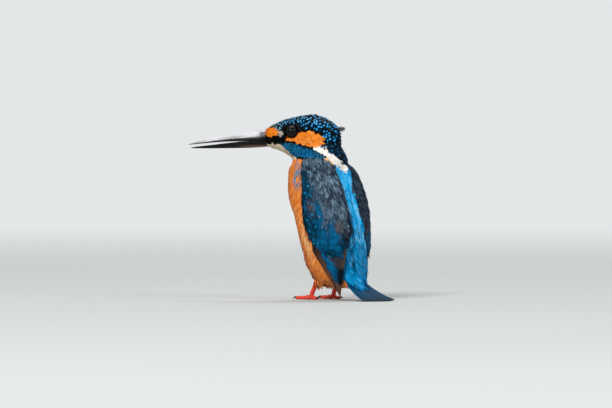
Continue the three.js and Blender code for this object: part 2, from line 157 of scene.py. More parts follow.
def wobble(points, scale, phase=0.0):
    """Smooth noise from -1 to 1 at points, with waves of about the given size."""
    q = np.asarray(points) / scale
    a = np.sin(q @ [1.9, 1.3, -0.7] + phase) + np.sin(q @ [-0.8, 2.3, 1.1] + 2.1 * phase + 1)
    b = np.sin(q @ [3.1, -1.7, 2.2] + 0.7 * phase) + np.sin(q @ [1.1, 3.3, -2.9] + phase + 4)
    return (a + b) / 3


def streaks(across, along, phase=0.0):
    """Soft streaks along the body, from 0 to 1. Both places are in millimetres."""
    a = np.sin(across * 2.9 + 1.3 * np.sin(along * 0.21 + phase) + phase)
    b = np.sin(across * 4.7 - 0.9 * np.sin(along * 0.33 + 2 * phase) + 1.7 * phase + 2)
    c = np.sin(along * 0.45 + 1.1 * np.sin(across * 0.9 + phase))
    return np.clip(0.5 + 0.27 * (a + b) + 0.2 * c, 0, 1)


def head_frame(points):
    """How far ahead, to the left and up from the skull's middle points are."""
    gap = points - SKULL
    return gap @ AHEAD, gap @ SIDE, gap @ UP


def from_head(ahead, side, up):
    return SKULL + np.multiply.outer(ahead, AHEAD) + np.multiply.outer(side, SIDE) + np.multiply.outer(up, UP)


def around_trunk(points):
    """Angle round the trunk in degrees, 0 at the middle of the back and positive to the left, and height."""
    x, y, z = (points - ORIGIN).T
    return np.degrees(np.arctan2(x, y - np.interp(z, AXIS_Z, AXIS_Y))), z


def height_of(points):
    return (points - ORIGIN)[:, 2]


def on_side(sign):
    """A test for points on the bird's left, where the sign is 1, or on its right, where it is -1."""
    return lambda points: (points - ORIGIN)[:, 0] * sign > 0


def inside(outline, x, y):
    """Whether each point x, y lies within a closed outline."""
    hit = np.zeros(len(x), bool)
    for (x0, y0), (x1, y1) in zip(outline, outline[1:] + outline[:1]):
        crosses = (y0 > y) != (y1 > y)
        hit ^= crosses & (x < (x1 - x0) * (y - y0) / (y1 - y0 + 1e-12) + x0)
    return hit


def even_curve(places, count):
    """A smooth curve through places, as points at even spacing and their directions."""
    places = np.asarray(places, float)
    padded = np.vstack([2 * places[0] - places[1], places, 2 * places[-1] - places[-2]])
    t = np.linspace(0, len(places) - 1.0001, 40 * len(places))
    i = t.astype(int)
    f = (t - i)[:, None]
    a, b, c, d = padded[i], padded[i + 1], padded[i + 2], padded[i + 3]
    fine = 0.5 * (2 * b + (c - a) * f + (2 * a - 5 * b + 4 * c - d) * f**2 + (3 * b - a - 3 * c + d) * f**3)
    run = np.concatenate([[0], np.cumsum(np.linalg.norm(np.diff(fine, axis=0), axis=1))])
    even = np.linspace(0, run[-1], count)
    points = np.stack([np.interp(even, run, fine[:, k]) for k in range(3)], 1)
    return points, unit(np.gradient(points, axis=0))


SPINE_POINTS, SPINE_WAYS = even_curve(SPINE + ORIGIN, 140)


def spine_frames():
    """Two directions across the spine at each of its points, carried along without twisting."""
    first = SIDE.copy()
    frames = []
    for way in SPINE_WAYS:
        first = unit(first - way * (first @ way))
        frames.append((first, np.cross(way, first)))
    return np.array(frames)


SPINE_FRAMES = spine_frames()
LIE_REACH = 7.0  # how far along the spine the lie of the plumage is averaged


def chunks(points, size=4000):
    for start in range(0, len(points), size):
        yield slice(start, start + size)


def lie_of_plumage(points, normals):
    """The direction in which feathers lie at points of the skin, and how flat it runs along the skin."""
    ways = np.empty_like(points)
    for part in chunks(points):
        gap = np.linalg.norm(points[part, None] - SPINE_POINTS[None], axis=2)
        near = gap.min(1, keepdims=True)
        weight = np.exp(-((gap - near) / LIE_REACH * 2) ** 2 - gap**2 / (2 * (2 * LIE_REACH) ** 2))
        ways[part] = unit(weight @ SPINE_WAYS)
    ways -= normals * np.sum(ways * normals, axis=1, keepdims=True)
    return unit(ways), np.linalg.norm(ways, axis=1)


def unwrap(points):
    """Places on the skin's own unwrap: round the spine and along it, each from 0 to 1."""
    places = np.empty((len(points), 2))
    for part in chunks(points):
        gap = points[part, None] - SPINE_POINTS[None]
        nearest = np.argmin(np.linalg.norm(gap, axis=2), axis=1)
        across = gap[np.arange(len(nearest)), nearest]
        first = np.sum(across * SPINE_FRAMES[nearest, 0], axis=1)
        second = np.sum(across * SPINE_FRAMES[nearest, 1], axis=1)
        places[part, 0] = np.arctan2(first, second) / (2 * math.pi) + 0.5
        places[part, 1] = nearest / (len(SPINE_POINTS) - 1)
    return places


# ---- settings ----

def srgb(code):
    """A linear colour from a six-figure web colour."""
    parts = [int(code[i:i + 2], 16) / 255 for i in (0, 2, 4)]
    return tuple(p / 12.92 if p <= 0.04045 else ((p + 0.055) / 1.055) ** 2.4 for p in parts)


def colour(name, code):
    return FloatVectorProperty(name=name, description=f"Colour of the {name.lower()}", subtype="COLOR",
                               size=3, min=0, max=1, default=srgb(code))


def length(name, default, what):
    return FloatProperty(name=name, description=what, default=default * MM, unit="LENGTH", precision=5)


class PlumageColours(bpy.types.PropertyGroup):
    crown: colour("Crown", "020912")
    crown_fleck: colour("Crown flecks", "2fb0ff")
    # Also the colour of the painted highlight on some flecks of the crown's top.
    forehead_fleck_and_glint: colour("Forehead flecks", "a4e2f2")
    black: colour("Eye stripe", "040506")
    ear: colour("Ear coverts", "f88408")
    lore_pale: colour("Pale spot before the eye", "b5a79a")
    malar: colour("Malar stripe", "004f7e")
    malar_fleck: colour("Malar flecks", "3cb4e0")
    crest: colour("Crest", "5a5f5c")
    throat: colour("Throat", "fbe8c6")
    white: colour("Neck patch", "fffaf2")
    breast: colour("Breast", "f98722")
    breast_pale: colour("Breast streaks", "ffc88a")
    breast_side: colour("Breast side", "6488a4")
    stripe: colour("Back stripe", "00aaee")
    # The stripe's pale streaks are partly its own paler barbs and partly painted highlight.
    stripe_pale_highlight: colour("Back stripe streaks", "8adcff")
    rump: colour("Rump", "0086c2")
    scapular: colour("Scapulars", "0b2032")
    # Painted glints: the pale streaks of the scapulars, also strewn over the breast side and the crest.
    scapular_pale_glint: colour("Scapular streaks", "8cabc4")
    covert: colour("Wing coverts", "00283c")
    covert_blue: colour("Greater coverts", "005c8a")
    covert_fleck: colour("Covert flecks", "10b4e6")
    quill: colour("Flight feathers", "080f16")
    quill_outer: colour("Flight feather outer webs", "005f90")
    quill_edge: colour("Primary edges", "6a4632")
    tertial: colour("Tertials", "463a34")
    tail: colour("Tail", "00283f")
    tail_edge: colour("Tail edges", "004a70")


def root_gap(name, default, where):
    return length(name, default, "Least distance between feather roots " + where)


class PlumageSizes(bpy.types.PropertyGroup):
    coat_depth: length("Coat depth", 1.0, "How far the skin lies inside the plumage's outline")
    skin_voxel: length("Skin mesh", 0.75, "Size of the skin's faces")
    crown_spacing: root_gap("Crown feather spacing", 0.66, "on the crown")
    face_spacing: root_gap("Face feather spacing", 0.45, "round the eye")
    cheek_spacing: root_gap("Cheek feather spacing", 0.6, "on cheek and neck")
    breast_spacing: root_gap("Breast feather spacing", 0.73, "on the breast")
    back_spacing: root_gap("Back feather spacing", 0.68, "on the back")
    mantle_spacing: root_gap("Scapular spacing", 0.82, "on the shoulders")
    covert_spacing: root_gap("Covert spacing", 0.95, "on the wing")
    seed: IntProperty(name="Seed", description="Seed of everything random in the plumage", default=7)


class BareColours(bpy.types.PropertyGroup):
    bill: colour("Bill", "060507")
    # A painted highlight along the upper half's ridge.
    bill_painted_highlight: colour("Bill ridge", "e8e6ee")
    bill_base: colour("Lower bill's root", "b88a6c")
    iris: colour("Iris", "120806")
    lid: colour("Eyelids", "060505")
    leg: colour("Legs", "f0441a")
    leg_scale: colour("Leg scale edges", "b3260f")
    claw: colour("Claws", "241512")


class StageSettings(bpy.types.PropertyGroup):
    azimuth: FloatProperty(name="Azimuth", description="Direction from which the camera looks, 0 along +Y",
                           subtype="ANGLE", default=math.radians(139))
    elevation: FloatProperty(name="Elevation", description="Camera's height over the horizon",
                             subtype="ANGLE", default=math.radians(1.0))
    lens: FloatProperty(name="Lens", description="Focal length in millimetres", default=400, min=50, max=800)
    field: length("Field", 318.2, "Width of the view at the bird")
    floor: colour("Floor", "b9bcba")


SETTINGS = {
    "kingfisher_plumage": PlumageColours,
    "kingfisher_coat": PlumageSizes,
    "kingfisher_bare": BareColours,
    "kingfisher_stage": StageSettings,
}


def settings(name):
    return getattr(bpy.context.scene, "kingfisher_" + name)


def rgb(name, group="plumage"):
    return np.array(getattr(settings(group), name)[:])


# ---- mesh tools ----

def new_mesh(name, points, faces):
    """A mesh from points in millimetres and faces, which are a list or an even array."""
    mesh = bpy.data.meshes.new(name)
    points = np.asarray(points, float).reshape(-1, 3) * MM
    if isinstance(faces, np.ndarray):
        sides = faces.shape[1]
        mesh.vertices.add(len(points))
        mesh.vertices.foreach_set("co", points.astype(np.float32).ravel())
        mesh.loops.add(faces.size)
        mesh.loops.foreach_set("vertex_index", faces.astype(np.int32).ravel())
        mesh.polygons.add(len(faces))
        mesh.polygons.foreach_set("loop_start", np.arange(0, faces.size, sides, dtype=np.int32))
        mesh.update(calc_edges=True)
    else:
        mesh.from_pydata(points.tolist(), [], faces)
    mesh.validate()
    mesh.shade_smooth()
    return mesh


def new_object(name, mesh, material=None):
    piece = bpy.data.objects.new(name, mesh)
    bpy.context.scene.collection.objects.link(piece)
    if material is not None:
        mesh.materials.clear()
        mesh.materials.append(material)
    return piece


def read_points(mesh, attribute=None):
    """A mesh's points in millimetres, or a vector attribute as it is."""
    if attribute is None:
        flat = np.empty(len(mesh.vertices) * 3, np.float32)
        mesh.vertices.foreach_get("co", flat)
        return flat.reshape(-1, 3).astype(float) / MM
    data = mesh.attributes[attribute].data
    flat = np.empty(len(data) * 3, np.float32)
    data.foreach_get("vector", flat)
    return flat.reshape(-1, 3).astype(float)


def write_attribute(mesh, name, kind, values):
    """Stores one value for each point of a mesh."""
    layer = mesh.attributes.new(name, kind, "POINT")
    key = {"FLOAT": "value", "FLOAT_VECTOR": "vector", "FLOAT_COLOR": "color"}[kind]
    if kind == "FLOAT_COLOR" and values.shape[1] == 3:
        values = np.hstack([values, np.ones((len(values), 1))])
    layer.data.foreach_set(key, np.asarray(values, np.float32).ravel())


def write_uv(mesh, name, places):
    """Stores a UV map from one place for each point."""
    corners = np.empty(len(mesh.loops), np.int32)
    mesh.loops.foreach_get("vertex_index", corners)
    layer = mesh.uv_layers.new(name=name)
    layer.data.foreach_set("uv", np.asarray(places, np.float32)[corners].ravel())


def finish_piece(piece, slot, *nodes):
    """Rides a finished piece on the body and hides the nodes that it replaces."""
    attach(piece, BODY)
    if nodes:
        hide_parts(*nodes)
    return piece


def grid_faces(rows, columns, closed=False):
    """Quads over a grid of points. A closed grid also joins the two ends of its rows."""
    faces = []
    for r in range(rows - 1):
        for c in range(columns if closed else columns - 1):
            a, b = r * columns + c, r * columns + (c + 1) % columns
            faces.append((a, b, b + columns, a + columns))
    return faces


def loft(rings):
    """Points and quads through rings, an array of rings by points by three, with fans over the ends."""
    count, sides = rings.shape[:2]
    points = list(rings.reshape(-1, 3))
    faces = grid_faces(count, sides, closed=True)
    for ring, first, turn in ((rings[0], 0, 1), (rings[-1], (count - 1) * sides, -1)):
        points.append(ring.mean(0))
        for i in range(sides):
            face = (len(points) - 1, first + (i + 1) % sides, first + i)
            faces.append(face[::turn])
    return points, faces


def joined(parts):
    """Several (points, faces) pairs as one."""
    points, faces = [], []
    for some_points, some_faces in parts:
        shift = len(points)
        points.extend(some_points)
        faces.extend(tuple(i + shift for i in face) for face in some_faces)
    return points, faces


def outward(mesh):
    """Turns all faces of a mesh of closed shells outwards."""
    work = bmesh.new()
    work.from_mesh(mesh)
    bmesh.ops.recalc_face_normals(work, faces=work.faces)
    work.to_mesh(mesh)
    work.free()


def evaluated_mesh(piece):
    view = bpy.context.evaluated_depsgraph_get()
    return bpy.data.meshes.new_from_object(piece.evaluated_get(view), depsgraph=view)


# ---- node tools ----

def add_node(tree, kind, **values):
    """Adds a node, sets its properties and its inputs, which are named with a leading 'in_'."""
    node = tree.nodes.new(kind)
    for name, value in values.items():
        if name.startswith("in_"):
            node.inputs[name[3:].replace("_", " ")].default_value = value
        else:
            setattr(node, name, value)
    return node


def wire(tree, start, end):
    tree.links.new(start, end)


def math_node(tree, operation, first, second=None, third=None, clamp=False):
    node = add_node(tree, "ShaderNodeMath", operation=operation, use_clamp=clamp)
    for socket, value in zip(node.inputs, (first, second, third)):
        if value is None:
            continue
        if isinstance(value, (int, float)):
            socket.default_value = value
        else:
            wire(tree, value, socket)
    return node.outputs[0]


def times(tree, first, second):
    return math_node(tree, "MULTIPLY", first, second)


def mix_colour(tree, share, first, second, blend="MIX"):
    node = add_node(tree, "ShaderNodeMix", data_type="RGBA", blend_type=blend)
    for socket, value in ((node.inputs[0], share), (node.inputs[6], first), (node.inputs[7], second)):
        if isinstance(value, (int, float)):
            socket.default_value = value
        elif isinstance(value, (tuple, list, np.ndarray)):
            socket.default_value = (*value[:3], 1)
        else:
            wire(tree, value, socket)
    return node.outputs[2]


def ramp(tree, value, low, high):
    """A smooth step of a value between two limits."""
    node = add_node(tree, "ShaderNodeMapRange", interpolation_type="SMOOTHSTEP")
    wire(tree, value, node.inputs["Value"])
    node.inputs["From Min"].default_value = low
    node.inputs["From Max"].default_value = high
    return node.outputs["Result"]


def noise(tree, scale, detail=3.0):
    """Noise from 0 to 1 in the object's own space."""
    node = add_node(tree, "ShaderNodeTexNoise", in_Scale=scale, in_Detail=detail, in_Roughness=0.55)
    wire(tree, add_node(tree, "ShaderNodeTexCoord").outputs["Object"], node.inputs["Vector"])
    return node.outputs["Fac"]


def new_material(name, roughness, specular, sheen=0.0, coat=0.0, gloss=(1, 1, 1)):
    """A material with a Principled shader whose even values are set on its own sockets."""
    material = bpy.data.materials.new(name)
    material.use_nodes = True
    tree = material.node_tree
    shader = tree.nodes["Principled BSDF"]
    shader.inputs["Roughness"].default_value = roughness
    shader.inputs["Specular IOR Level"].default_value = specular
    shader.inputs["Specular Tint"].default_value = (*gloss, 1)
    shader.inputs["Sheen Weight"].default_value = sheen
    shader.inputs["Sheen Roughness"].default_value = 0.4
    shader.inputs["Coat Weight"].default_value = coat
    shader.inputs["Coat Roughness"].default_value = 0.06
    return material, tree, shader


def add_bump(tree, shader, height, strength, distance):
    bump = add_node(tree, "ShaderNodeBump", in_Strength=strength, in_Distance=distance)
    wire(tree, height, bump.inputs["Height"])
    wire(tree, bump.outputs["Normal"], shader.inputs["Normal"])


BARBS = 26  # barbs drawn along a vane
BARB_SLANT = 0.55
BARB_SHADE, SHAFT_SHADE = (0.25, 0.25, 0.25), (0.1, 0.1, 0.1)
FLECK_AT = 0.8  # the fleck's middle, as a share of the vane's length
BLUE_GLOSS = (0.25, 0.7, 1.0)


def plume_material(name, roughness, specular, sheen=0.0, barb_depth=0.35, gloss=(1, 1, 1), spot=(0.34, 0.17)):
    """Feather webs: colour and flecks from the piece's attributes, fine barbs from its vane map."""
    material, tree, shader = new_material(name, roughness, specular, sheen, gloss=gloss)
    base = add_node(tree, "ShaderNodeAttribute", attribute_name="plume").outputs["Color"]
    fleck = add_node(tree, "ShaderNodeAttribute", attribute_name="fleck")
    vane = add_node(tree, "ShaderNodeUVMap", uv_map="vane").outputs["UV"]
    split = add_node(tree, "ShaderNodeSeparateXYZ")
    wire(tree, vane, split.inputs[0])
    across = math_node(tree, "ABSOLUTE", math_node(tree, "SUBTRACT", split.outputs[0], 0.5))
    along = split.outputs[1]
    # The fleck is a soft drop near the feather's tip. The spot is half its width and half its length.
    gap_x = math_node(tree, "DIVIDE", across, spot[0])
    gap_y = math_node(tree, "DIVIDE", math_node(tree, "SUBTRACT", along, FLECK_AT), spot[1])
    square = math_node(tree, "ADD", times(tree, gap_x, gap_x), times(tree, gap_y, gap_y))
    drop = ramp(tree, square, 1.25, 0.45)
    spotted = mix_colour(tree, times(tree, drop, fleck.outputs["Alpha"]), base, fleck.outputs["Color"])
    # Barbs slant away from the shaft.
    slant = math_node(tree, "SUBTRACT", along, times(tree, across, BARB_SLANT))
    wave = math_node(tree, "SINE", times(tree, slant, BARBS * 2 * math.pi))
    barbs = math_node(tree, "MULTIPLY_ADD", wave, 0.5, 0.5)
    shaft = ramp(tree, across, 0.035, 0.01)
    shaded = mix_colour(tree, times(tree, barbs, 0.22), spotted, BARB_SHADE, "MULTIPLY")
    shafted = mix_colour(tree, times(tree, shaft, 0.3), shaded, SHAFT_SHADE, "MULTIPLY")
    wire(tree, shafted, shader.inputs["Base Color"])
    add_bump(tree, shader, math_node(tree, "ADD", barbs, shaft), barb_depth, 0.00006)
    return material


def skin_material():
    """The skin under the plumage, with the same markings and the stubble of feather roots."""
    material, tree, shader = new_material("skin_markings", 0.8, 0.2)
    base = add_node(tree, "ShaderNodeAttribute", attribute_name="plume").outputs["Color"]
    grain = noise(tree, 1400.0)
    tint = mix_colour(tree, times(tree, grain, 0.7), base, (0.3, 0.3, 0.3), "MULTIPLY")
    wire(tree, tint, shader.inputs["Base Color"])
    add_bump(tree, shader, grain, 0.5, 0.0002)
    return material


# ---- markings ----

KINDS = ("crown", "black", "ear", "lore", "malar", "throat", "white", "breast", "back", "scapular", "covert")
KIND = {name: i for i, name in enumerate(KINDS)}

# Outlines of the head's markings in its profile: distance ahead of the skull's middle, and height over it.
EAR_PATCH = [(8.6, -2.3), (4.7, -1.2), (4.0, 0.4), (1.0, 1.3), (-4.6, 1.1), (-7.6, 0.0), (-12.0, -2.1),
             (-11.5, -5.2), (-8.9, -6.9), (-6.6, -7.1), (-2.5, -5.6), (1.8, -4.6), (2.7, -3.5), (7.9, -3.2)]
MALAR_STRIPE = [(12.2, -5.0), (8.0, -4.2), (3.5, -5.0), (-0.8, -6.4), (-5.9, -8.9), (-10.7, -11.3),
                (-12.0, -13.2), (-9.0, -13.8), (-4.7, -12.4), (1.2, -12.2), (4.3, -11.3), (8.4, -7.5),
                (11.2, -5.2)]
MALAR_EDGE = MALAR_STRIPE[5::-1]  # the stripe's upper edge, from behind
NECK_PATCH = [(-5.8, -7.4), (-9.2, -6.0), (-13.1, -8.5), (-17.5, -12.7), (-21.1, -15.9), (-25.4, -19.4),
              (-25.0, -22.0), (-20.4, -20.0), (-17.4, -17.8), (-16.3, -15.7), (-11.7, -12.0), (-8.3, -9.7)]
RUSTY_PATCH = [(-10.6, -11.9), (-12.6, -12.6), (-16.5, -15.8), (-17.5, -17.6), (-13.5, -17.6), (-11.2, -14.0)]
EYE_STRIPE = [(23.0, 0.6), (20.2, -0.4), (17.5, -1.4), (13.6, -1.0), (12.6, 2.0), (9.0, 4.6), (5.0, 4.9),
              (0.0, 3.9), (-6.0, 2.9), (-10.5, 0.6), (-10.5, -0.9), (-7.6, -0.6), (-4.6, 0.5), (1.0, 0.8),
              (4.0, 0.0), (4.7, -1.0), (8.6, -2.1), (8.0, -3.2), (2.8, -3.7), (1.9, -4.7), (-2.4, -5.8),
              (-6.6, -7.3), (-6.6, -8.6), (-0.8, -6.2), (3.5, -4.8), (8.0, -4.3), (12.6, -4.9), (17.0, -4.6),
              (23.0, -4.6)]
THROAT = [(23.0, -4.6), (17.0, -4.6), (12.4, -4.7), (11.1, -5.3), (8.3, -7.6), (4.2, -11.4), (2.0, -14.6),
          (3.0, -19.0), (12.0, -19.0), (23.0, -12.0)]
# Round patches before the eye, as a middle and a reach: the orange lore, and the pale spot in it.
LORE, PALE_LORE = ((16.3, 1.4), (3.8, 2.3)), ((11.3, 0.6), (1.2, 1.5))
# Where the head's markings end below, by distance ahead.
COLLAR_AHEAD = [-26, -22, -17, -13, -10, -6, -2, 2, 6]
COLLAR_UP = [-20.6, -19.4, -16.6, -14.0, -13.0, -12.8, -12.9, -13.6, -13.4]
# How far apart the crown's flecks are, by distance ahead, and those of the malar stripe and the coverts.
CROWN_FLECK_AHEAD, CROWN_FLECK_GAP = [-18, -8, 4, 14, 20], [1.25, 1.1, 0.9, 0.66, 0.6]
MALAR_FLECK_GAP, COVERT_FLECK_GAP = 0.9, 3.6

# The back stripe by height, in degrees round the trunk: its middle, and how far it reaches to either side.
BACK_STRIPE_Z = [10, 15, 20, 26, 31, 35, 39, 43, 52, 61, 67, 72]
BACK_STRIPE_MIDDLE = [0, 0, -4, -10, -12, -11, -7, -4, -4, -3, -9, -8]
BACK_STRIPE_HALF = [100, 62, 52, 42, 27, 17, 12.5, 9.5, 9, 12, 17, 14]
# Painted highlight in the stripe's pale streaks, by height: strongest along the middle of the back.
STREAK_Z, STRIPE_HIGHLIGHT_SHARE = [12, 22, 32, 42, 50, 60, 70], [0.1, 0.3, 1, 1, 0.85, 0.5, 0.4]  # how bright it is
TRUNK_RADIUS = 17  # for streaks, which are counted in millimetres round the trunk
# Patches of the trunk, by degrees round it and height, as a middle and a reach.
PALE_FLANK, BREAST_SIDE = ((98, 29), (8, 9)), ((92, 64), (9, 7))

WING_FRONT, WING_BACK = 86.0, 10.0  # degrees round the trunk of a folded wing's two edges
WING_WIDTH = 36  # for streaks, which are counted in millimetres across the wing
# Patches of the wing, by share across it and height, as a middle and a reach.
COVERT_PATCHES = [((0.43, 44), (0.045, 6.5)), ((0.62, 32), (0.08, 8.0)), ((0.4, 33), (0.05, 6.0)),
                  ((0.24, 25), (0.08, 6.0))]
RUST_PATCHES = [((0.27, 47.5), (0.08, 3.325)), ((0.74, 37.0), (0.08, 2.59))]
# How much painted glint the scapulars' pale streaks carry, by height. It drops just under the neck, as
# painted collar shade.
SLATE_Z, SLATE_GLINT_SHARE = [25, 40, 55, 64, 71], [0.25, 0.38, 0.52, 0.6, 0.45]


def patch(x, y, middle, reach, power=2):
    """A soft patch: 1 in its middle and fading beyond its reach, more abruptly with a higher power."""
    return np.exp(-((x - middle[0]) / reach[0]) ** power - ((y - middle[1]) / reach[1]) ** power)


def within(x, y, middle, reach):
    """Whether points lie in the oval round a middle."""
    return ((x - middle[0]) / reach[0]) ** 2 + ((y - middle[1]) / reach[1]) ** 2 < 1


def wing_place(points):
    """Share of the way from a wing's leading to its inner edge, and height."""
    angle, z = around_trunk(points)
    return np.clip((WING_FRONT - np.abs(angle)) / (WING_FRONT - WING_BACK), 0, 1), z


def spread(count, value):
    return np.tile(np.asarray(value, float), (count, 1))


def blend(first, second, share):
    return first + (second - first) * np.clip(share, 0, 1)[:, None]


def thinned(points, gaps, rng):
    """Picks points that keep the given distance from each other."""
    picked = np.zeros(len(points), bool)
    for i in rng.permutation(len(points)):
        near = points[picked]
        picked[i] = not len(near) or ((near - points[i]) ** 2).sum(1).min() > gaps[i] ** 2
    return picked


class Marks:
    """Kind of plumage and its colours at some points of the skin."""

    def __init__(self, points, on_wing, rng):
        self.count = count = len(points)
        self.rng = rng
        self.chance = rng.random(count)
        self.kind = np.full(count, KIND["breast"])
        self.base = spread(count, rgb("breast"))
        self.accent = np.hstack([spread(count, rgb("breast_pale")), np.full((count, 1), 0.2)])
        self.fleck = np.zeros((count, 4))
        self.ahead, self.side, self.up = head_frame(points)
        self.angle, self.z = around_trunk(points)
        self.points, self.on_wing = points, on_wing
        self.mark_trunk()
        self.mark_head()
        self.mark_wings()

    def set(self, where, name, tint=None, accent=None, share=0.0):
        self.kind[where] = KIND[name]
        if tint is not None:
            self.base[where] = rgb(tint)
        self.accent[where] = [*rgb(accent or tint), share]
        self.fleck[where] = 0

    def spots(self, where, gaps):
        """Picks the points for flecks, at least the given gaps apart."""
        chosen = np.flatnonzero(where)
        gaps = np.broadcast_to(gaps, self.count)[chosen]
        return chosen[thinned(self.points[chosen], gaps, self.rng)]

    def mark_trunk(self):
        """Orange breast and belly, the grey-blue breast side, and the blue stripe, rump and tail coverts."""
        angle = np.abs(self.angle) + 2.5 * wobble(self.points, 3.0, 1.0)
        angle += 1.5 * self.rng.normal(size=self.count)
        z = self.z
        pale = 0.8 * patch(angle, z, *PALE_FLANK) + 0.2 * smoothstep(150, 175, angle)
        self.base = blend(self.base, rgb("breast_pale"), pale + 0.2 * (self.chance < 0.25))
        self.accent[:, 3] = 0.18 + 0.4 * pale
        side = patch(angle, z, *BREAST_SIDE, 4) * (wobble(self.points, 1.7, 5) > -0.45)
        self.base = blend(self.base, rgb("breast_side"), side)
        self.accent[side > 0.5] = [*rgb("scapular_pale_glint"), 0.4]
        mantle = ((z > 60) & (angle < 80) | (z > 24) & (angle < 45)) & ~self.on_wing
        self.set(mantle, "scapular", "scapular", "scapular_pale_glint", 0.2)
        # The mantle's pale streaks are painted glints.
        streak = streaks(np.radians(self.angle) * TRUNK_RADIUS, z, 2.0)
        self.base[mantle] = blend(self.base, rgb("scapular_pale_glint"), 0.5 * streak**1.5)[mantle]
        off = np.abs(self.angle - np.interp(z, BACK_STRIPE_Z, BACK_STRIPE_MIDDLE))
        off += 1.2 * wobble(self.points, 2.5, 1.0) + 0.6 * self.rng.normal(size=self.count)
        # On the wings the stripe covers only the inner edges, above the rump.
        between = ~self.on_wing | (z > 30) & (np.abs(self.angle + 8) < 14)
        back = (off < np.interp(z, BACK_STRIPE_Z, BACK_STRIPE_HALF)) & between
        self.set(back, "back", "stripe", "stripe_pale_highlight", 0.25)
        down = smoothstep(36, 14, z)
        blue = blend(spread(self.count, rgb("stripe")), rgb("rump"), down)
        streak = streaks(np.radians(self.angle) * TRUNK_RADIUS, z, 0.5)
        # The pale streaks are partly painted highlight, strongest at middle heights.
        bright = smoothstep(0.5, 0.95, streak) * np.interp(z, STREAK_Z, STRIPE_HIGHLIGHT_SHARE)
        blue = blend(blue, rgb("stripe_pale_highlight"), 0.75 * bright)
        blue = blend(blue, rgb("malar"), 0.5 * smoothstep(0.42, 0.08, streak))
        self.base[back] = blue[back]
        self.accent[back, 3] = (0.22 - 0.15 * down)[back]

    def mark_head(self):
        """The crown and crest, the face, and the malar stripe, all with slightly ragged edges."""
        ragged = 0.2 * wobble(self.points, 1.1) + 0.12 * self.rng.normal(size=self.count)
        ragged_too = 0.2 * wobble(self.points, 1.3, 3.0) + 0.12 * self.rng.normal(size=self.count)
        ahead, side, up = self.ahead + ragged, np.abs(self.side), self.up + ragged_too
        head = (up > np.interp(ahead, COLLAR_AHEAD, COLLAR_UP)) & ~self.on_wing
        self.mark_crown(head, ahead, side, up)
        self.mark_face(head, ahead, side, up)
        self.mark_malar(ahead, up)

    def mark_crown(self, head, ahead, side, up):
        """The dark crown with its bright flecks, the bluer middle of the nape, and the plain crest."""
        self.set(head, "crown", "crown", "crown", 0.0)
        nape = smoothstep(2.6, 1.0, side) * smoothstep(-3, -8, up) * (ahead < -6)
        self.base = blend(self.base, rgb("malar"), 0.75 * nape * head)
        spotted = self.spots(head, np.interp(ahead, CROWN_FLECK_AHEAD, CROWN_FLECK_GAP))
        # Flecks are paler towards the forehead; by chance some on the crown's top are paler too, as a painted
        # highlight.
        pale = np.maximum(smoothstep(4, 16, ahead), 0.55 * smoothstep(4, 9, up) * self.chance)
        tint = blend(spread(self.count, rgb("crown_fleck")), rgb("forehead_fleck_and_glint"), pale)
        self.fleck[spotted, :3] = tint[spotted]
        strength = (1 - 0.75 * smoothstep(-2, -7, up)) * (0.7 + 0.3 * self.chance)
        self.fleck[spotted, 3] = strength[spotted]
        crest = head & (ahead < CREST_ROOT[0] - 0.6) & (up > 0.8) & (side < 1.5)
        self.set(crest, "crown", "crest", "scapular_pale_glint", 0.3)

    def mark_face(self, head, ahead, side, up):
        """The throat, the patches of the neck, the mask through the eye, the ear patch and the lore."""
        under = head & (up < -5) & (side < 5) & (ahead > 3)
        self.set(head & (inside(THROAT, ahead, up) | under), "throat", "throat", "white", 0.3)
        self.set(head & inside(MALAR_STRIPE, ahead, up), "malar", "malar", "malar_fleck", 0.1)
        self.set(head & inside(RUSTY_PATCH, ahead, up), "white", "breast_pale", "breast", 0.4)
        self.set(head & inside(NECK_PATCH, ahead, up) & (side > 1), "white", "white", "breast_pale", 0.06)
        self.set(head & inside(EYE_STRIPE, ahead, up), "black", "black")
        ear = head & inside(EAR_PATCH, ahead, up)
        self.set(ear, "ear", "ear", "breast_pale", 0.12)
        # The ear patch's pale streaks are painted highlights, and its brownish streaks painted shade.
        streak = streaks(1.4 * (up - 0.35 * ahead), 2 * ahead, 1.0)
        shade = blend(self.base, rgb("breast_pale"), 0.2 * smoothstep(0.6, 0.95, streak))
        self.base[ear] = blend(shade, rgb("quill_edge"), 0.2 * smoothstep(0.4, 0.1, streak))[ear]
        self.set(head & within(ahead, up, *LORE), "lore", "ear", "breast_pale", 0.1)
        self.set(head & within(ahead, up, *PALE_LORE), "lore", "lore_pale", "white", 0.3)
        self.set((self.kind == KIND["crown"]) & head & (ahead > -9) & (up < 1.2), "black", "black")

    def mark_malar(self, ahead, up):
        """The malar stripe: dark at both ends and along its upper edge, with bright flecks."""
        malar = self.kind == KIND["malar"]
        dark = np.maximum(smoothstep(-3.5, -8, ahead), 0.5 * smoothstep(7, 11, ahead))
        below = np.interp(ahead, *np.transpose(MALAR_EDGE)) - up
        dark = np.maximum(dark, 0.9 * smoothstep(1.5, 0.5, below))
        self.base[malar] = blend(self.base, rgb("crown"), 0.85 * dark)[malar]
        spotted = self.spots(malar, MALAR_FLECK_GAP)
        self.fleck[spotted, :3] = rgb("malar_fleck")
        self.fleck[spotted, 3] = (0.25 + 0.75 * smoothstep(-2, 8, ahead))[spotted]
        self.accent[malar, 3] = 0.25

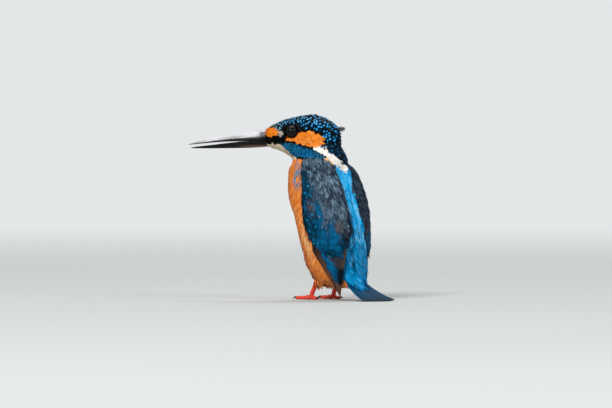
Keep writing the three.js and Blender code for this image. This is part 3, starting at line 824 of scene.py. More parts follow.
    def mark_wings(self):
        """Slate scapulars with painted glints in their pale streaks, over teal coverts with blue patches and
        bright spots.
        """
        across, z = wing_place(self.points)
        seam = across + 0.05 * wobble(self.points, 2.6)
        slate = smoothstep(0.3, 0.46, seam + 0.24 * smoothstep(60, 70, z))
        slate *= smoothstep(24, 38, z - 12 * (1 - seam))
        for spot in COVERT_PATCHES:
            slate *= 1 - patch(across, z, *spot, 4)
        folded = self.on_wing & (self.kind != KIND["back"])
        self.set(folded & (slate <= 0.5), "covert", "covert", "covert_blue", 0.2)
        self.set(folded & (slate > 0.5), "scapular", "scapular", "scapular_pale_glint", 0.1)
        streak = streaks(across * WING_WIDTH, z)
        tint = spread(self.count, rgb("covert"))
        tint = blend(tint, rgb("covert_blue"), 0.5 * smoothstep(0.5, 0.95, streak))
        # Painted glints in the pale streaks, far fewer on the bird's right side, as painted shade.
        glinted_slate = np.interp(z, SLATE_Z, SLATE_GLINT_SHARE) * streak**1.5 * np.where(self.angle < 0, 0.3, 1)
        glinted_slate = blend(spread(self.count, rgb("scapular")), rgb("scapular_pale_glint"), glinted_slate)
        tint += (glinted_slate - tint) * slate[:, None]
        for spot in COVERT_PATCHES:
            tint = blend(tint, rgb("covert_blue"), 0.95 * patch(across, z, *spot))
        for spot in RUST_PATCHES:
            tint = blend(tint, rgb("quill_edge"), 0.5 * patch(across, z, *spot))
        tint = blend(tint, rgb("quill"), 0.85 * smoothstep(0.7, 0.9, across) * smoothstep(40, 32, z))
        self.base[folded] = tint[folded]
        spotted = self.spots(folded & (across < 0.36) & (z < 66), COVERT_FLECK_GAP)
        self.fleck[spotted, :3] = rgb("covert_fleck")
        self.fleck[spotted, 3] = smoothstep(0.38, 0.28, across)[spotted]


# ---- skin ----

FLESH = ("head", "neck", "trunk", "wing_left", "wing_right", "leg_left", "leg_right")
SEAM_FILL = 0.25  # each solid swells by this much, which closes the thin cuts between them
FACE_FRONT = 20.6  # the face ends this far ahead of the skull's middle
SHANK_TOP = 7.5  # the leg is bare below this height


def flesh_part(node, cut_at=None, cut_way=None):
    """A node's solid as a bmesh, swollen to close the cuts, and cut off beyond a plane."""
    part = bmesh.new()
    part.from_mesh(frame["nodes"][node].data)
    bmesh.ops.remove_doubles(part, verts=part.verts, dist=1e-6)
    if cut_at is not None:
        geometry = [*part.verts, *part.edges, *part.faces]
        cut = bmesh.ops.bisect_plane(part, geom=geometry, plane_co=Vector(cut_at * MM),
                                     plane_no=Vector(cut_way), clear_outer=True)
        edges = [e for e in cut["geom_cut"] if isinstance(e, bmesh.types.BMEdge)]
        bmesh.ops.contextual_create(part, geom=edges)
    part.normal_update()
    for v in part.verts:
        v.co += v.normal * SEAM_FILL * MM
    return part


def make_skin():
    coat = settings("coat")
    whole = bmesh.new()
    face_cut, leg_cut = (SKULL + FACE_FRONT * AHEAD, AHEAD), (ORIGIN + SHANK_TOP * UP, -UP)
    cuts = {"upper_bill": face_cut, "lower_bill": face_cut, "leg_left": leg_cut, "leg_right": leg_cut}
    for node in (*FLESH, "upper_bill", "lower_bill"):
        part = flesh_part(node, *cuts.get(node, (None, None)))
        piece = bpy.data.meshes.new("part")
        part.to_mesh(piece)
        part.free()
        whole.from_mesh(piece)
        bpy.data.meshes.remove(piece)
    mesh = bpy.data.meshes.new("skin")
    whole.to_mesh(mesh)
    whole.free()
    skin = new_object("skin", mesh)
    remesh = skin.modifiers.new("Remesh", "REMESH")
    remesh.mode = "VOXEL"
    remesh.voxel_size = coat.skin_voxel
    smooth = skin.modifiers.new("Smooth", "SMOOTH")
    smooth.factor = 0.5
    smooth.iterations = 8
    inset = skin.modifiers.new("Inset", "DISPLACE")
    inset.strength = -(coat.coat_depth + SEAM_FILL * MM)
    inset.mid_level = 0
    again = skin.modifiers.new("Smooth again", "SMOOTH")
    again.iterations = 4
    made = evaluated_mesh(skin)
    skin.modifiers.clear()
    skin.data = made
    made.name = "skin"
    made.shade_smooth()
    bpy.data.meshes.remove(mesh)
    return skin


class Surface:
    """The finished skin, for laying plumage on, and the solids that tell the wings from the rest."""

    def __init__(self):
        view = bpy.context.evaluated_depsgraph_get()
        self.wings = self.tree("wing_left", "wing_right")
        self.rest = self.tree("trunk", "neck", "head")
        self.quills = self.tree("flight_left", "flight_right", "tail")
        self.skin = BVHTree.FromObject(bpy.data.objects["skin"], view)

    @staticmethod
    def tree(*nodes):
        points, faces = [], []
        for node in nodes:
            mesh = frame["nodes"][node].data
            shift = len(points)
            points.extend(v.co.copy() for v in mesh.vertices)
            faces.extend([i + shift for i in face.vertices] for face in mesh.polygons)
        return BVHTree.FromPolygons(points, faces)

    def on_wing(self, points):
        """Whether points of the skin belong to a wing's pad."""
        near = []
        for p in points * MM:
            place = Vector(p)
            wing = self.wings.find_nearest(place)[3]
            near.append(wing < self.rest.find_nearest(place)[3] + 0.1 * MM)
        return np.array(near, bool)

    def covered(self, points, normals, reach):
        """Whether a flight or tail feather lies over points of the skin."""
        found = []
        for p, n in zip(points * MM, normals):
            found.append(self.quills.ray_cast(Vector(p), Vector(n), reach * MM)[0] is not None)
        return np.array(found, bool)


# ---- feather patterns ----

def web(rows, columns, width, rise, camber, narrow=0.35, tip=0.72, reach=1.0):
    """A vane of unit length: points, quads and vane places. width is at its widest, and rise lifts it."""
    t = np.linspace(0, 1, rows + 1)
    x = np.linspace(-1, 1, columns + 1)
    wide = np.interp(t, [0, 0.3, 0.6, tip], [narrow, 0.8, 1.0, 0.97])
    over = np.clip((t - tip) / (1 - tip), 0, 1)
    wide *= np.sqrt(np.maximum(1 - over**2, 0.02))
    points = np.zeros((rows + 1, columns + 1, 3))
    points[..., 0] = x[None] * wide[:, None] * width / 2
    points[..., 1] = (t[:, None] - 0.05 * over[:, None] * x[None] ** 2) * reach
    points[..., 2] = rise * np.sin(t * math.pi * 0.75)[:, None] - camber * (x[None] * wide[:, None]) ** 2
    places = np.stack(np.broadcast_arrays(0.5 + 0.5 * x[None] * wide[:, None], t[:, None] * reach), -1)
    return points.reshape(-1, 3), grid_faces(rows + 1, columns + 1), places.reshape(-1, 2)


def barb(start, end, width, segments, sag):
    """One thin pointed strand between two points."""
    start, end = np.array(start, float), np.array(end, float)
    way = end - start
    beside = unit(np.array([way[1], -way[0], 0.0])) * width / 2
    points, places, faces = [], [], []
    for k in range(segments + 1):
        t = k / segments
        middle = start + way * t + np.array([0, 0, sag * math.sin(t * math.pi)])
        thin = 1 - 0.55 * t
        row = [middle] if k == segments else [middle - beside * thin, middle + beside * thin]
        points.extend(row)
        places.extend((np.clip(0.5 + p[0] * 1.6, 0, 1), np.clip(p[1], 0, 1)) for p in row)
    for k in range(segments - 1):
        a = 2 * k
        faces.append((a, a + 1, a + 3, a + 2))
    last = 2 * (segments - 1)
    faces.append((last, last + 1, last + 2))
    return points, faces, places


def pattern(parts):
    """Joins webs and barbs into one pattern: points, triangles, vane places and each point's part."""
    points, faces, places, part_of = [], [], [], []
    for k, (some_points, some_faces, some_places) in enumerate(parts):
        shift = len(points)
        points.extend(some_points)
        places.extend(some_places)
        part_of.extend([k] * len(some_points))
        for face in some_faces:
            face = [i + shift for i in face]
            faces.extend((face[0], face[j], face[j + 1]) for j in range(1, len(face) - 1))
    return np.array(points), np.array(faces), np.array(places), np.array(part_of)


def fringe(rng, strands, root_span, tip_span, at, drop, long, width, height):
    """Barbs fanned over a vane's end. They start at a share of its length, and lower by drop at its sides."""
    parts = []
    for k in range(strands):
        share = (k + 0.5) / strands * 2 - 1
        along = at - drop * abs(share) ** 1.6
        start = (share * root_span, along, height * (1 - 0.5 * abs(share)))
        end_across = share * tip_span + 0.02 * rng.normal()
        end_along = along + long * (1 - 0.3 * rng.random()) * (1 - 0.15 * share**2)
        end = (end_across, end_along, height * 0.6 + 0.012 * rng.normal())
        parts.append(barb(start, end, width, segments=2, sag=0.012))
    return parts


def scale_pattern(rng):
    """A small firm feather with a round, slightly frayed tip, for the crown."""
    vane = web(5, 4, width=0.54, rise=0.09, camber=0.05, reach=0.95)
    barbs = fringe(rng, 6, 0.16, 0.2, at=0.84, drop=0.2, long=0.17, width=0.07, height=0.05)
    return pattern([vane, *barbs])


def silk_pattern(rng, strands=10, fan=0.3):
    """A tuft of loose barbs, for cheeks, throat and neck."""
    parts = []
    for k in range(strands):
        share = (k + 0.5) / strands * 2 - 1
        reach = 1 - 0.22 * share**2 - 0.14 * rng.random()
        end = (share * fan + 0.03 * rng.normal(), reach, 0.015 * rng.normal() + 0.02)
        parts.append(barb((share * 0.12, 0.0, 0.0), end, width=0.09, segments=3, sag=0.09))
    return pattern(parts)


def contour_pattern(rng):
    """A body feather: a soft web whose edge and tip split into barbs."""
    vane = web(4, 2, width=0.44, rise=0.1, camber=0.05, tip=0.6, reach=0.72)
    barbs = fringe(rng, 15, 0.19, 0.3, at=0.62, drop=0.42, long=0.4, width=0.052, height=0.085)
    return pattern([vane, *barbs])


def mantle_pattern(rng):
    """A long loose feather of the shoulders: a narrow web under long hair-like barbs."""
    vane = web(4, 2, width=0.26, rise=0.08, camber=0.045, tip=0.6, reach=0.8)
    barbs = fringe(rng, 5, 0.08, 0.15, at=0.5, drop=0.3, long=0.48, width=0.045, height=0.08)
    tip_barbs = fringe(rng, 9, 0.11, 0.17, at=0.7, drop=0.3, long=0.3, width=0.045, height=0.06)
    return pattern([vane, *barbs, *tip_barbs])


def rump_pattern(rng):
    """A long silky feather of the rump: a slender web that ends in fine barbs."""
    vane = web(4, 2, width=0.2, rise=0.05, camber=0.04, tip=0.55, reach=0.8)
    barbs = fringe(rng, 13, 0.1, 0.13, at=0.62, drop=0.36, long=0.38, width=0.03, height=0.045)
    return pattern([vane, *barbs])


def covert_pattern(rng):
    """A wing covert: a firm web with a finely frayed tip."""
    vane = web(5, 4, width=0.38, rise=0.06, camber=0.045, narrow=0.4, tip=0.6, reach=0.94)
    barbs = fringe(rng, 8, 0.15, 0.18, at=0.8, drop=0.28, long=0.19, width=0.04, height=0.05)
    return pattern([vane, *barbs])


# ---- scattering and planting ----

MOST_ROOTS = 8e6  # for each square metre, before the spacing thins them out
PATCH = 0.003  # size of one feather on the OFBake map
BACK_FROM, RUMP_TO = 33, 36  # between these heights the back's and the rump's feathers mingle
SEEN = 0.78  # a feather is marked as the skin is at this share of its length
QUILL_COVER = 3.5  # no feather grows where a flight or tail feather lies this close over the skin


def new_tree(name, inputs):
    """A geometry node tree with some inputs besides the geometry, and its two end nodes."""
    tree = bpy.data.node_groups.new(name, "GeometryNodeTree")
    for label, kind in {"Geometry": "Geometry", **inputs}.items():
        tree.interface.new_socket(name=label, in_out="INPUT", socket_type="NodeSocket" + kind)
    tree.interface.new_socket(name="Geometry", in_out="OUTPUT", socket_type="NodeSocketGeometry")
    return tree, tree.nodes.new("NodeGroupInput"), tree.nodes.new("NodeGroupOutput")


def scatter_tree():
    """Geometry nodes that spread feather roots evenly over the skin."""
    tree, start, end = new_tree("Feather roots", {"Spacing": "Float", "Seed": "Int"})
    spread_out = add_node(tree, "GeometryNodeDistributePointsOnFaces", distribute_method="POISSON")
    spread_out.inputs["Density Max"].default_value = MOST_ROOTS
    wire(tree, start.outputs["Geometry"], spread_out.inputs["Mesh"])
    wire(tree, start.outputs["Spacing"], spread_out.inputs["Distance Min"])
    wire(tree, start.outputs["Seed"], spread_out.inputs["Seed"])
    keep = add_node(tree, "GeometryNodeStoreNamedAttribute", data_type="FLOAT_VECTOR", domain="POINT")
    keep.inputs["Name"].default_value = "outward"
    wire(tree, spread_out.outputs["Points"], keep.inputs["Geometry"])
    wire(tree, spread_out.outputs["Normal"], keep.inputs["Value"])
    dots = tree.nodes.new("GeometryNodePointsToVertices")
    wire(tree, keep.outputs["Geometry"], dots.inputs["Points"])
    wire(tree, dots.outputs["Mesh"], end.inputs[0])
    return tree


def plant_tree():
    """Geometry nodes that plant a pattern at every root, turned and sized by the root's attributes."""
    tree, start, end = new_tree("Feathers", {"Pattern": "Object", "Material": "Material"})
    shape = tree.nodes.new("GeometryNodeObjectInfo")
    wire(tree, start.outputs["Pattern"], shape.inputs["Object"])
    plants = tree.nodes.new("GeometryNodeInstanceOnPoints")
    wire(tree, start.outputs["Geometry"], plants.inputs["Points"])
    wire(tree, shape.outputs["Geometry"], plants.inputs["Instance"])
    for name, socket in (("turn", "Rotation"), ("span", "Scale")):
        read = add_node(tree, "GeometryNodeInputNamedAttribute", data_type="FLOAT_VECTOR")
        read.inputs["Name"].default_value = name
        wire(tree, read.outputs["Attribute"], plants.inputs[socket])
    real = tree.nodes.new("GeometryNodeRealizeInstances")
    wire(tree, plants.outputs["Instances"], real.inputs["Geometry"])
    paint = tree.nodes.new("GeometryNodeSetMaterial")
    wire(tree, real.outputs["Geometry"], paint.inputs["Geometry"])
    wire(tree, start.outputs["Material"], paint.inputs["Material"])
    wire(tree, paint.outputs["Geometry"], end.inputs[0])
    return tree


def run_tree(tree, mesh, **inputs):
    """Runs a node tree on a mesh and returns the result as a plain mesh."""
    carrier = new_object("carrier", mesh)
    modifier = carrier.modifiers.new("Nodes", "NODES")
    modifier.node_group = tree
    for item in tree.interface.items_tree:
        if item.in_out == "INPUT" and item.name in inputs:
            modifier[item.identifier] = inputs[item.name]
    made = evaluated_mesh(carrier)
    bpy.data.objects.remove(carrier)
    return made


def roots_on_skin(spacing, seed):
    """Places and outward directions of evenly spread roots on the skin."""
    mesh = run_tree(scatter_tree(), bpy.data.objects["skin"].data.copy(), Spacing=spacing, Seed=seed)
    return read_points(mesh), unit(read_points(mesh, "outward"))


def turns(ways, normals, lift, yaw):
    """Euler turns that lay a pattern along ways, lifted off the skin and yawed a little."""
    beside = np.cross(ways, normals)
    ways = ways * np.cos(yaw)[:, None] + beside * np.sin(yaw)[:, None]
    along = ways * np.cos(lift)[:, None] + normals * np.sin(lift)[:, None]
    out = normals * np.cos(lift)[:, None] - ways * np.sin(lift)[:, None]
    x = np.cross(along, out)
    return np.stack([np.arctan2(along[:, 2], out[:, 2]), np.arcsin(np.clip(-x[:, 2], -1, 1)),
                     np.arctan2(x[:, 1], x[:, 0])], 1)


def patch_places(roots, vane):
    """OFBake places: each feather a small patch at its root's place on the skin's unwrap."""
    places = unwrap(roots)
    low, high = places.min(0), places.max(0)
    places = 0.01 + 0.975 * (places - low) / np.maximum(high - low, 1e-6)
    return (places[:, None] + (vane[None] - 0.5) * PATCH).reshape(-1, 2)


def plant(name, shape, bed, colours, material, rng, loose, depth):
    """One coat piece: a pattern planted at all roots, each feather with its own colours and small bends.

    The bed is the roots, their outward and lying directions, and the feathers' lengths, lifts and widths.
    The colours are each feather's main colour, its second colour with a share, and its fleck.
    """
    points, triangles, vane, part_of = shape
    roots, normals, ways, size, lift, broad = bed
    base, accent, fleck = colours
    count, parts = len(roots), part_of.max() + 1
    seeds = new_mesh("roots", roots, [])
    write_attribute(seeds, "turn", "FLOAT_VECTOR", turns(ways, normals, lift, rng.normal(0, 0.1, count)))
    write_attribute(seeds, "span", "FLOAT_VECTOR", np.stack([size * broad, size, size], 1))
    stencil = new_object("pattern", new_mesh("pattern", points, triangles))
    mesh = run_tree(plant_tree(), seeds, Pattern=stencil, Material=material)
    bpy.data.objects.remove(stencil)
    shaped = read_points(mesh).reshape(count, len(points), 3)
    beside = unit(np.cross(ways, normals))
    along = points[:, 1]
    reach = along[None] ** 2 * size[:, None]  # a bend carries the tip most
    bend = rng.normal(0, 0.05 + loose, (count, 1)) * reach
    stray = rng.normal(0, 0.02 + loose, (count, parts))[:, part_of] * reach
    rise = np.abs(rng.normal(0, 0.012 + 0.4 * loose, (count, parts)))[:, part_of] * reach
    shaped += (bend + stray)[..., None] * beside[:, None] + rise[..., None] * normals[:, None]
    mesh.vertices.foreach_set("co", (shaped.reshape(-1, 3) * MM).astype(np.float32).ravel())
    # Painted shade: each feather darkens towards its root, down to depth, and is a touch lighter at its tip.
    tone = rng.normal(1, 0.07, (count, 1)) * (depth + (1.08 - depth) * smoothstep(0.05, 0.8, along))[None]
    tone = tone * rng.normal(1, 0.1, (count, parts))[:, part_of]
    chosen = (rng.random((count, parts)) < accent[:, 3:]) * rng.uniform(0.25, 0.8, (count, parts))
    chosen[:, 0] *= 0.35  # the web takes less of the second colour than the barbs do
    share = chosen[:, part_of][..., None]
    mixed = (base[:, None] * (1 - share) + accent[:, None, :3] * share) * tone[..., None]
    write_attribute(mesh, "plume", "FLOAT_COLOR", np.clip(mixed, 0, 1).reshape(-1, 3))
    write_attribute(mesh, "fleck", "FLOAT_COLOR", np.repeat(fleck, len(points), axis=0))
    write_uv(mesh, "vane", np.tile(vane, (count, 1)))
    write_uv(mesh, "OFBake", patch_places(roots, vane))
    mesh.uv_layers["OFBake"].active = True
    mesh.shade_smooth()
    mesh.update()
    return new_object(name, mesh, material)


def bare_places(points):
    """Whether points are where no scattered feather grows: eyes, bill, shank and the crest's core."""
    ahead, side, up = head_frame(points)
    bare = (ahead > FACE_FRONT + 0.3) | (height_of(points) < SHANK_TOP + 0.2)
    bare |= (ahead < CREST_ROOT[0] - 0.9) & (up > 0.6) & (np.abs(side) < 1.5)
    near_eye = (ahead - EYE_AHEAD) ** 2 + (up - EYE_UP) ** 2 < (EYE_OPENING + 0.25) ** 2
    return bare | (near_eye & (np.abs(side) < 10))


def evened(roots, normals):
    """Outward directions on the back, evened out over the grooves beside the folded wings."""
    height = height_of(roots)
    axis = np.zeros_like(roots)
    axis[:, 1] = np.interp(height, AXIS_Z, AXIS_Y)
    radial = (roots - (ORIGIN + axis)) * [1, 1, 0]
    return unit(normals + unit(radial) * 1.5 * smoothstep(15, 25, height)[:, None])


def lies_well(roots, normals, ways, flat):
    """Whether feathers lie along the skin. On the blunt end over the tail some would stand up or hover."""
    place = roots - ORIGIN
    lying = (flat > 0.78) | (place[:, 2] > 25)
    return lying & ((place[:, 1] < 22) | (ways[:, 2] < -0.35) | (normals[:, 2] < 0.3))


def grow(name, kinds, shape, spacing, size_of, material, slot, seed, width=0.9, lift=8, loose=0.02, depth=0.7,
         part=None, extra=None):
    """Scatters, marks and plants all feathers of some kinds as one piece.

    The width is a share of the pattern's own, the lift off the skin is in degrees, loose is how far barbs
    stray, and depth is the tone at the roots, a painted shade that darkens each feather towards its root.
    A part leaves out other places, and extra adds feathers.
    """
    rng = np.random.default_rng(settings("coat").seed + seed)
    surface = Surface()
    roots, normals = roots_on_skin(spacing, seed)
    open_skin = ~bare_places(roots)
    if part is not None:
        open_skin &= part(roots)
    roots, normals = roots[open_skin], normals[open_skin]
    if "back" in kinds:
        normals = evened(roots, normals)
    ways, flat = lie_of_plumage(roots, normals)
    lying = lies_well(roots, normals, ways, flat)
    roots, normals, ways = roots[lying], normals[lying], ways[lying]
    scattered = len(roots)
    size = size_of(roots) * rng.normal(1, 0.1, scattered).clip(0.7, 1.3)
    raised = np.radians(lift) * rng.normal(1, 0.25, scattered).clip(0.3, 1.7)
    bed = [roots, normals, ways, size, raised, np.full(scattered, width)]
    if extra is not None:
        bed = [np.concatenate(pair) for pair in zip(bed, extra(rng))]
    roots, normals, ways, size = bed[:4]
    seen = roots + ways * (SEEN * size)[:, None]
    free = np.arange(len(roots)) >= scattered  # the extra feathers may lie over others
    marks = Marks(seen, surface.on_wing(roots) & ~free, rng)
    keep = free | ~surface.covered(roots, normals, QUILL_COVER)
    keep &= np.isin(marks.kind, [KIND[k] for k in kinds])
    bed = [values[keep] for values in bed]
    colours = [values[keep] for values in (marks.base, marks.accent, marks.fleck)]
    return finish_piece(plant(name, shape, bed, colours, material, rng, loose, depth), slot)


def crown_size(points):
    return np.interp(head_frame(points)[0], [-18, -8, 6, 14, 20], [3.6, 3.2, 2.5, 1.9, 1.3])


def face_size(points):
    ahead, _, up = head_frame(points)
    return np.interp(np.hypot(ahead - EYE_AHEAD, up - EYE_UP), [2.3, 5, 10], [0.8, 1.3, 1.9])


def silk_size(points):
    ahead, _, up = head_frame(points)
    size = np.interp(ahead, [-20, -10, 2, 8, 12, 20], [3.3, 3.0, 2.7, 1.9, 1.5, 1.5])
    return np.where(up < -6, np.maximum(size, 2.3), size)


def body_size(points):
    return np.interp(height_of(points), [8, 16, 30, 55, 68, 74], [4.8, 5.8, 5.4, 4.8, 3.6, 2.8])


def back_size(points):
    return np.interp(height_of(points), [30, 55, 68, 74], [5.8, 4.8, 3.6, 2.8])


def rump_size(points):
    return np.interp(height_of(points), [6, 14, 22, 36], [8.5, 9.0, 8.0, 6.0])


def wing_size(points):
    across, z = wing_place(points)
    size = np.interp(z, [26, 32, 45, 62, 72], [9.6, 8.2, 6.6, 4.8, 3.2])
    size = size * (1 + 0.08 * wobble(points, 1.3, 2) * smoothstep(40, 32, z))
    return size * (0.7 + 0.3 * smoothstep(0.1, 0.5, across))


def crest_feathers(rng, count=200):
    """The short pointed crest at the back of the crown. Its strands aim just across the middle of its tip."""
    start = rng.uniform(0, 1, count) ** 1.3
    turn = rng.uniform(0, 2 * math.pi, count)
    off = np.sqrt(rng.uniform(0, 1, count)) * (1 - 0.8 * start)
    ahead = CREST_ROOT[0] + 1.2 + (CREST_TIP[0] - CREST_ROOT[0]) * 0.6 * start
    roots = from_head(ahead, off * np.cos(turn), CREST_ROOT[1] - 0.3 + 1.3 * off * np.sin(turn))
    tip = from_head(np.full(count, CREST_TIP[0]), -0.3 * np.cos(turn), CREST_TIP[1] - 0.3 * np.sin(turn))
    ways = unit(tip - roots)
    normals = np.outer(np.cos(turn), SIDE) + np.outer(np.sin(turn), UP)
    normals = unit(normals - ways * np.sum(ways * normals, axis=1, keepdims=True))
    size = np.linalg.norm(tip - roots, axis=1) * (1 - 0.75 * rng.uniform(0, 1, count) ** 1.5)
    lift, width = np.zeros(count), np.full(count, 0.07)
    return roots, normals, ways, size, lift, width


def rump_overlap(rng, count=520):
    """Long rump feathers that lie over the right wing's inner edge and hang down beside the tail's root."""
    height = rng.uniform(13, 43, count)
    outer = np.interp(height, [13, 18, 24, 29, 36, 43], [1.04, 0.97, 0.9, 0.86, 0.93, 1.0])
    across = rng.uniform(outer, np.interp(height, [13, 18, 24, 31], [1.6, 1.38, 1.28, 1.14]))
    places, facing = wing_sheet(-1, height, across)
    ways = wing_sheet(-1, height - 1, across)[0] - places
    below = ORIGIN + [-1.5, 26, 6] - places
    ways = unit(ways + 0.5 * unit(below) * smoothstep(28, 14, height)[:, None])
    normals = unit(facing - ways * np.sum(ways * facing, axis=1, keepdims=True))
    lift, width = np.full(count, 0.05), np.full(count, 0.9)
    return places + 0.6 * facing, normals, ways, rng.uniform(4.0, 8.0, count), lift, width


# ---- flight and tail feathers ----

def wing_sheet(side, height, across):
    """Places and outward directions on a folded wing's sheet, by height and share across."""
    pick = [np.interp(-height, -WING_Z, column) for column in (*WING_LEAD.T, *WING_INNER.T, WING_BOW)]
    lead = np.stack([pick[0], pick[1], height], -1)
    span = np.stack([pick[2] - pick[0], pick[3] - pick[1], np.zeros_like(height)], -1)
    out = unit(np.stack([span[..., 1], -span[..., 0], np.zeros_like(height)], -1))
    bow = 4 * pick[4]
    place = lead + span * across[..., None] + out * (bow * across * (1 - across))[..., None]
    turn = np.arctan2(bow * (2 * across - 1), np.linalg.norm(span, axis=-1))
    facing = np.stack([out[..., 0] * np.cos(turn) - out[..., 1] * np.sin(turn),
                       out[..., 0] * np.sin(turn) + out[..., 1] * np.cos(turn), out[..., 2]], -1)
    mirror = np.array([side, 1, 1])
    return place * mirror + ORIGIN, facing * mirror


FLIGHT_ROWS, TAIL_ROWS, QUILL_COLUMNS = 30, 26, 8
FLIGHT_TIP, TAIL_TIP = 0.78, 0.86  # where a feather's tip starts to round off, as a share of its length
QUILL_STEP = 0.085  # each flight feather lies this much over the one outside it
QUILL_THICK = 0.16
TAIL_PAIRS, TAIL_RUN = 6, 37  # the tail feathers' pairs, and how long they show


def quill_outline(t, tip):
    """Half-width share along a long feather whose rounded tip starts at a share of its length."""
    over = np.clip((t - tip) / (1 - tip), 0, 1)
    return np.interp(t, [0, 0.12, 0.5], [0.3, 0.85, 1.0]) * np.sqrt(np.maximum(1 - over**2.2, 0.004))


def thin_sheet(top, thickness, out):
    """A closed thin body under a grid of points."""
    rows, columns = top.shape[:2]
    points = np.concatenate([top.reshape(-1, 3), (top - out * thickness[..., None]).reshape(-1, 3)])
    under = rows * columns  # the lower side's points follow the upper side's
    faces = grid_faces(rows, columns)
    faces += [tuple(i + under for i in face[::-1]) for face in faces]
    rim = list(range(columns - 1)) + [r * columns + columns - 1 for r in range(rows - 1)]
    rim += [(rows - 1) * columns + c for c in range(columns - 1, 0, -1)]
    rim += [r * columns for r in range(rows - 1, 0, -1)]
    faces += [(a, a + under, b + under, b) for a, b in zip(rim, rim[1:] + rim[:1])]
    return points, faces


# Flight feathers from the outermost primary inwards: where each starts and ends by height, its place across
# the wing at both ends, and its width as a share of the wing.
FLIGHT = [
    (44, 1.4, 0.06, 0.62, 0.15), (44, 2.4, 0.12, 0.66, 0.16), (44, 3.8, 0.18, 0.68, 0.17),
    (44, 5.6, 0.24, 0.70, 0.18), (44, 7.8, 0.31, 0.72, 0.18), (44, 10.2, 0.38, 0.72, 0.19),
    (44, 12.6, 0.45, 0.73, 0.19), (44, 14.6, 0.52, 0.75, 0.2), (44, 16.0, 0.59, 0.78, 0.2),
    (44, 17.0, 0.64, 0.8, 0.19), (44, 18.4, 0.7, 0.82, 0.18), (44, 20.5, 0.76, 0.84, 0.15),
    (44, 23.5, 0.82, 0.87, 0.12)]


def long_feather(place_at, rows, tip, lift, rng, waves=0.02):
    """A long vane on a sheet: place_at(t, x) gives places and directions for grids of t and x."""
    t = np.linspace(0, 1, rows + 1)[:, None]
    x = np.linspace(-1, 1, QUILL_COLUMNS + 1)[None]
    t, x = np.broadcast_arrays(t, x)
    places, out = place_at(t, x)
    ridge = 0.13 * np.exp(-(x / 0.16) ** 2) * (1 - 0.8 * t)
    camber = -0.16 * np.abs(x) ** 2.5
    splits = waves * np.sin(t * 40 + rng.random() * 6)
    top = places + out * (lift(t) + ridge + camber + splits * np.abs(x))[..., None]
    points, faces = thin_sheet(top, QUILL_THICK * (1 - 0.75 * np.abs(x) ** 3), out)
    vane = np.stack([0.5 + 0.5 * x * quill_outline(t, tip), t], -1).reshape(-1, 2)
    return points, faces, np.tile(vane, (2, 1))


def feather_set(name, feathers, material, slot, nodes):
    """Joins long feathers, each with its vane places and its colours, into one piece."""
    points, faces = joined(feather[:2] for feather in feathers)
    vanes, colours, patches = [], [], []
    step = 0.5 / len(feathers)  # each feather has one column for its upper and one for its lower side
    for k, (_, _, vane, tint) in enumerate(feathers):
        vanes.append(vane)
        colours.append(tint)
        column = (2 * k + 0.5 + np.repeat([0, 1], len(vane) // 2)) * step
        patches.append(np.stack([column + (vane[:, 0] - 0.5) * 0.8 * step, 0.02 + 0.96 * vane[:, 1]], 1))
    mesh = new_mesh(name, points, faces)
    write_attribute(mesh, "plume", "FLOAT_COLOR", np.concatenate(colours))
    write_attribute(mesh, "fleck", "FLOAT_COLOR", np.zeros((len(points), 4)))
    write_uv(mesh, "vane", np.concatenate(vanes))
    write_uv(mesh, "OFBake", np.concatenate(patches))
    mesh.uv_layers["OFBake"].active = True
    outward(mesh)
    piece = new_object(name, mesh, material)
    return finish_piece(piece, slot, *nodes)


def flight_tint(vane, k):
    """One flight feather's colours: blue outer webs, brown edges and tips of primaries, brownish tertials."""
    x, t = vane[:, 0], vane[:, 1]
    inner = k / (len(FLIGHT) - 1)
    outer_web = smoothstep(0.58, 0.42, x) * (0.45 + 0.55 * smoothstep(0.04, 0.16, x))
    blue = np.interp(inner, [0, 0.15, 0.25, 0.62, 0.76, 1.0], [0.0, 0.3, 1.0, 1.0, 0.2, 0.0])
    brown = smoothstep(0.24, 0.06, x) * (inner < 0.3) * smoothstep(0.3, 0.7, t)
    worn = (k < 4) * smoothstep(0.82, 0.97, t)
    clear = smoothstep(0.2, 0.4, x) if inner < 0.3 else 1  # keeps the blue off the brown edge
    drab = smoothstep(0.56, 0.74, inner) * smoothstep(0.25, 0.45, t) * (1 - 0.6 * outer_web)
    tint = spread(len(vane), rgb("quill"))
    tint = blend(tint, rgb("quill_outer"), outer_web * blue * smoothstep(1.0, 0.8, t) * clear)
    tint = blend(tint, rgb("quill_edge"), np.maximum(0.9 * brown, 0.8 * worn))
    return blend(tint, rgb("tertial"), drab)


def flight_feathers(side, label, material, rng):
    feathers = []
    inner_limit, uneven = (0.92, 0.0) if side > 0 else (1.12, 0.16)  # the wings are folded a little unevenly
    for k, (high, low, first, last, wide) in enumerate(FLIGHT):
        last = last * (1 + uneven * k / len(FLIGHT))

        def place_at(t, x, high=high, low=low, first=first, last=last, wide=wide):
            height = high + (low - high) * t - 0.35 * np.abs(x) * smoothstep(0.8, 1, t)
            centre = first + (last - first) * t**1.7
            half = wide * quill_outline(t, FLIGHT_TIP) * (1 + 0.9 * t)
            outer_limit = 0.09 - 0.15 * smoothstep(0.25, 0.55, t)  # the roots stay under the coverts
            return wing_sheet(side, height, np.clip(centre + x * half, outer_limit, inner_limit))

        def lift(t, k=k):
            return -0.25 + k * QUILL_STEP * (1 - 0.45 * t)

        points, faces, vane = long_feather(place_at, FLIGHT_ROWS, FLIGHT_TIP, lift, rng)
        feathers.append((points, faces, vane, flight_tint(vane, k)))
    return feather_set(f"flight_feathers_{label}", feathers, material, "flight_feathers", [f"flight_{label}"])


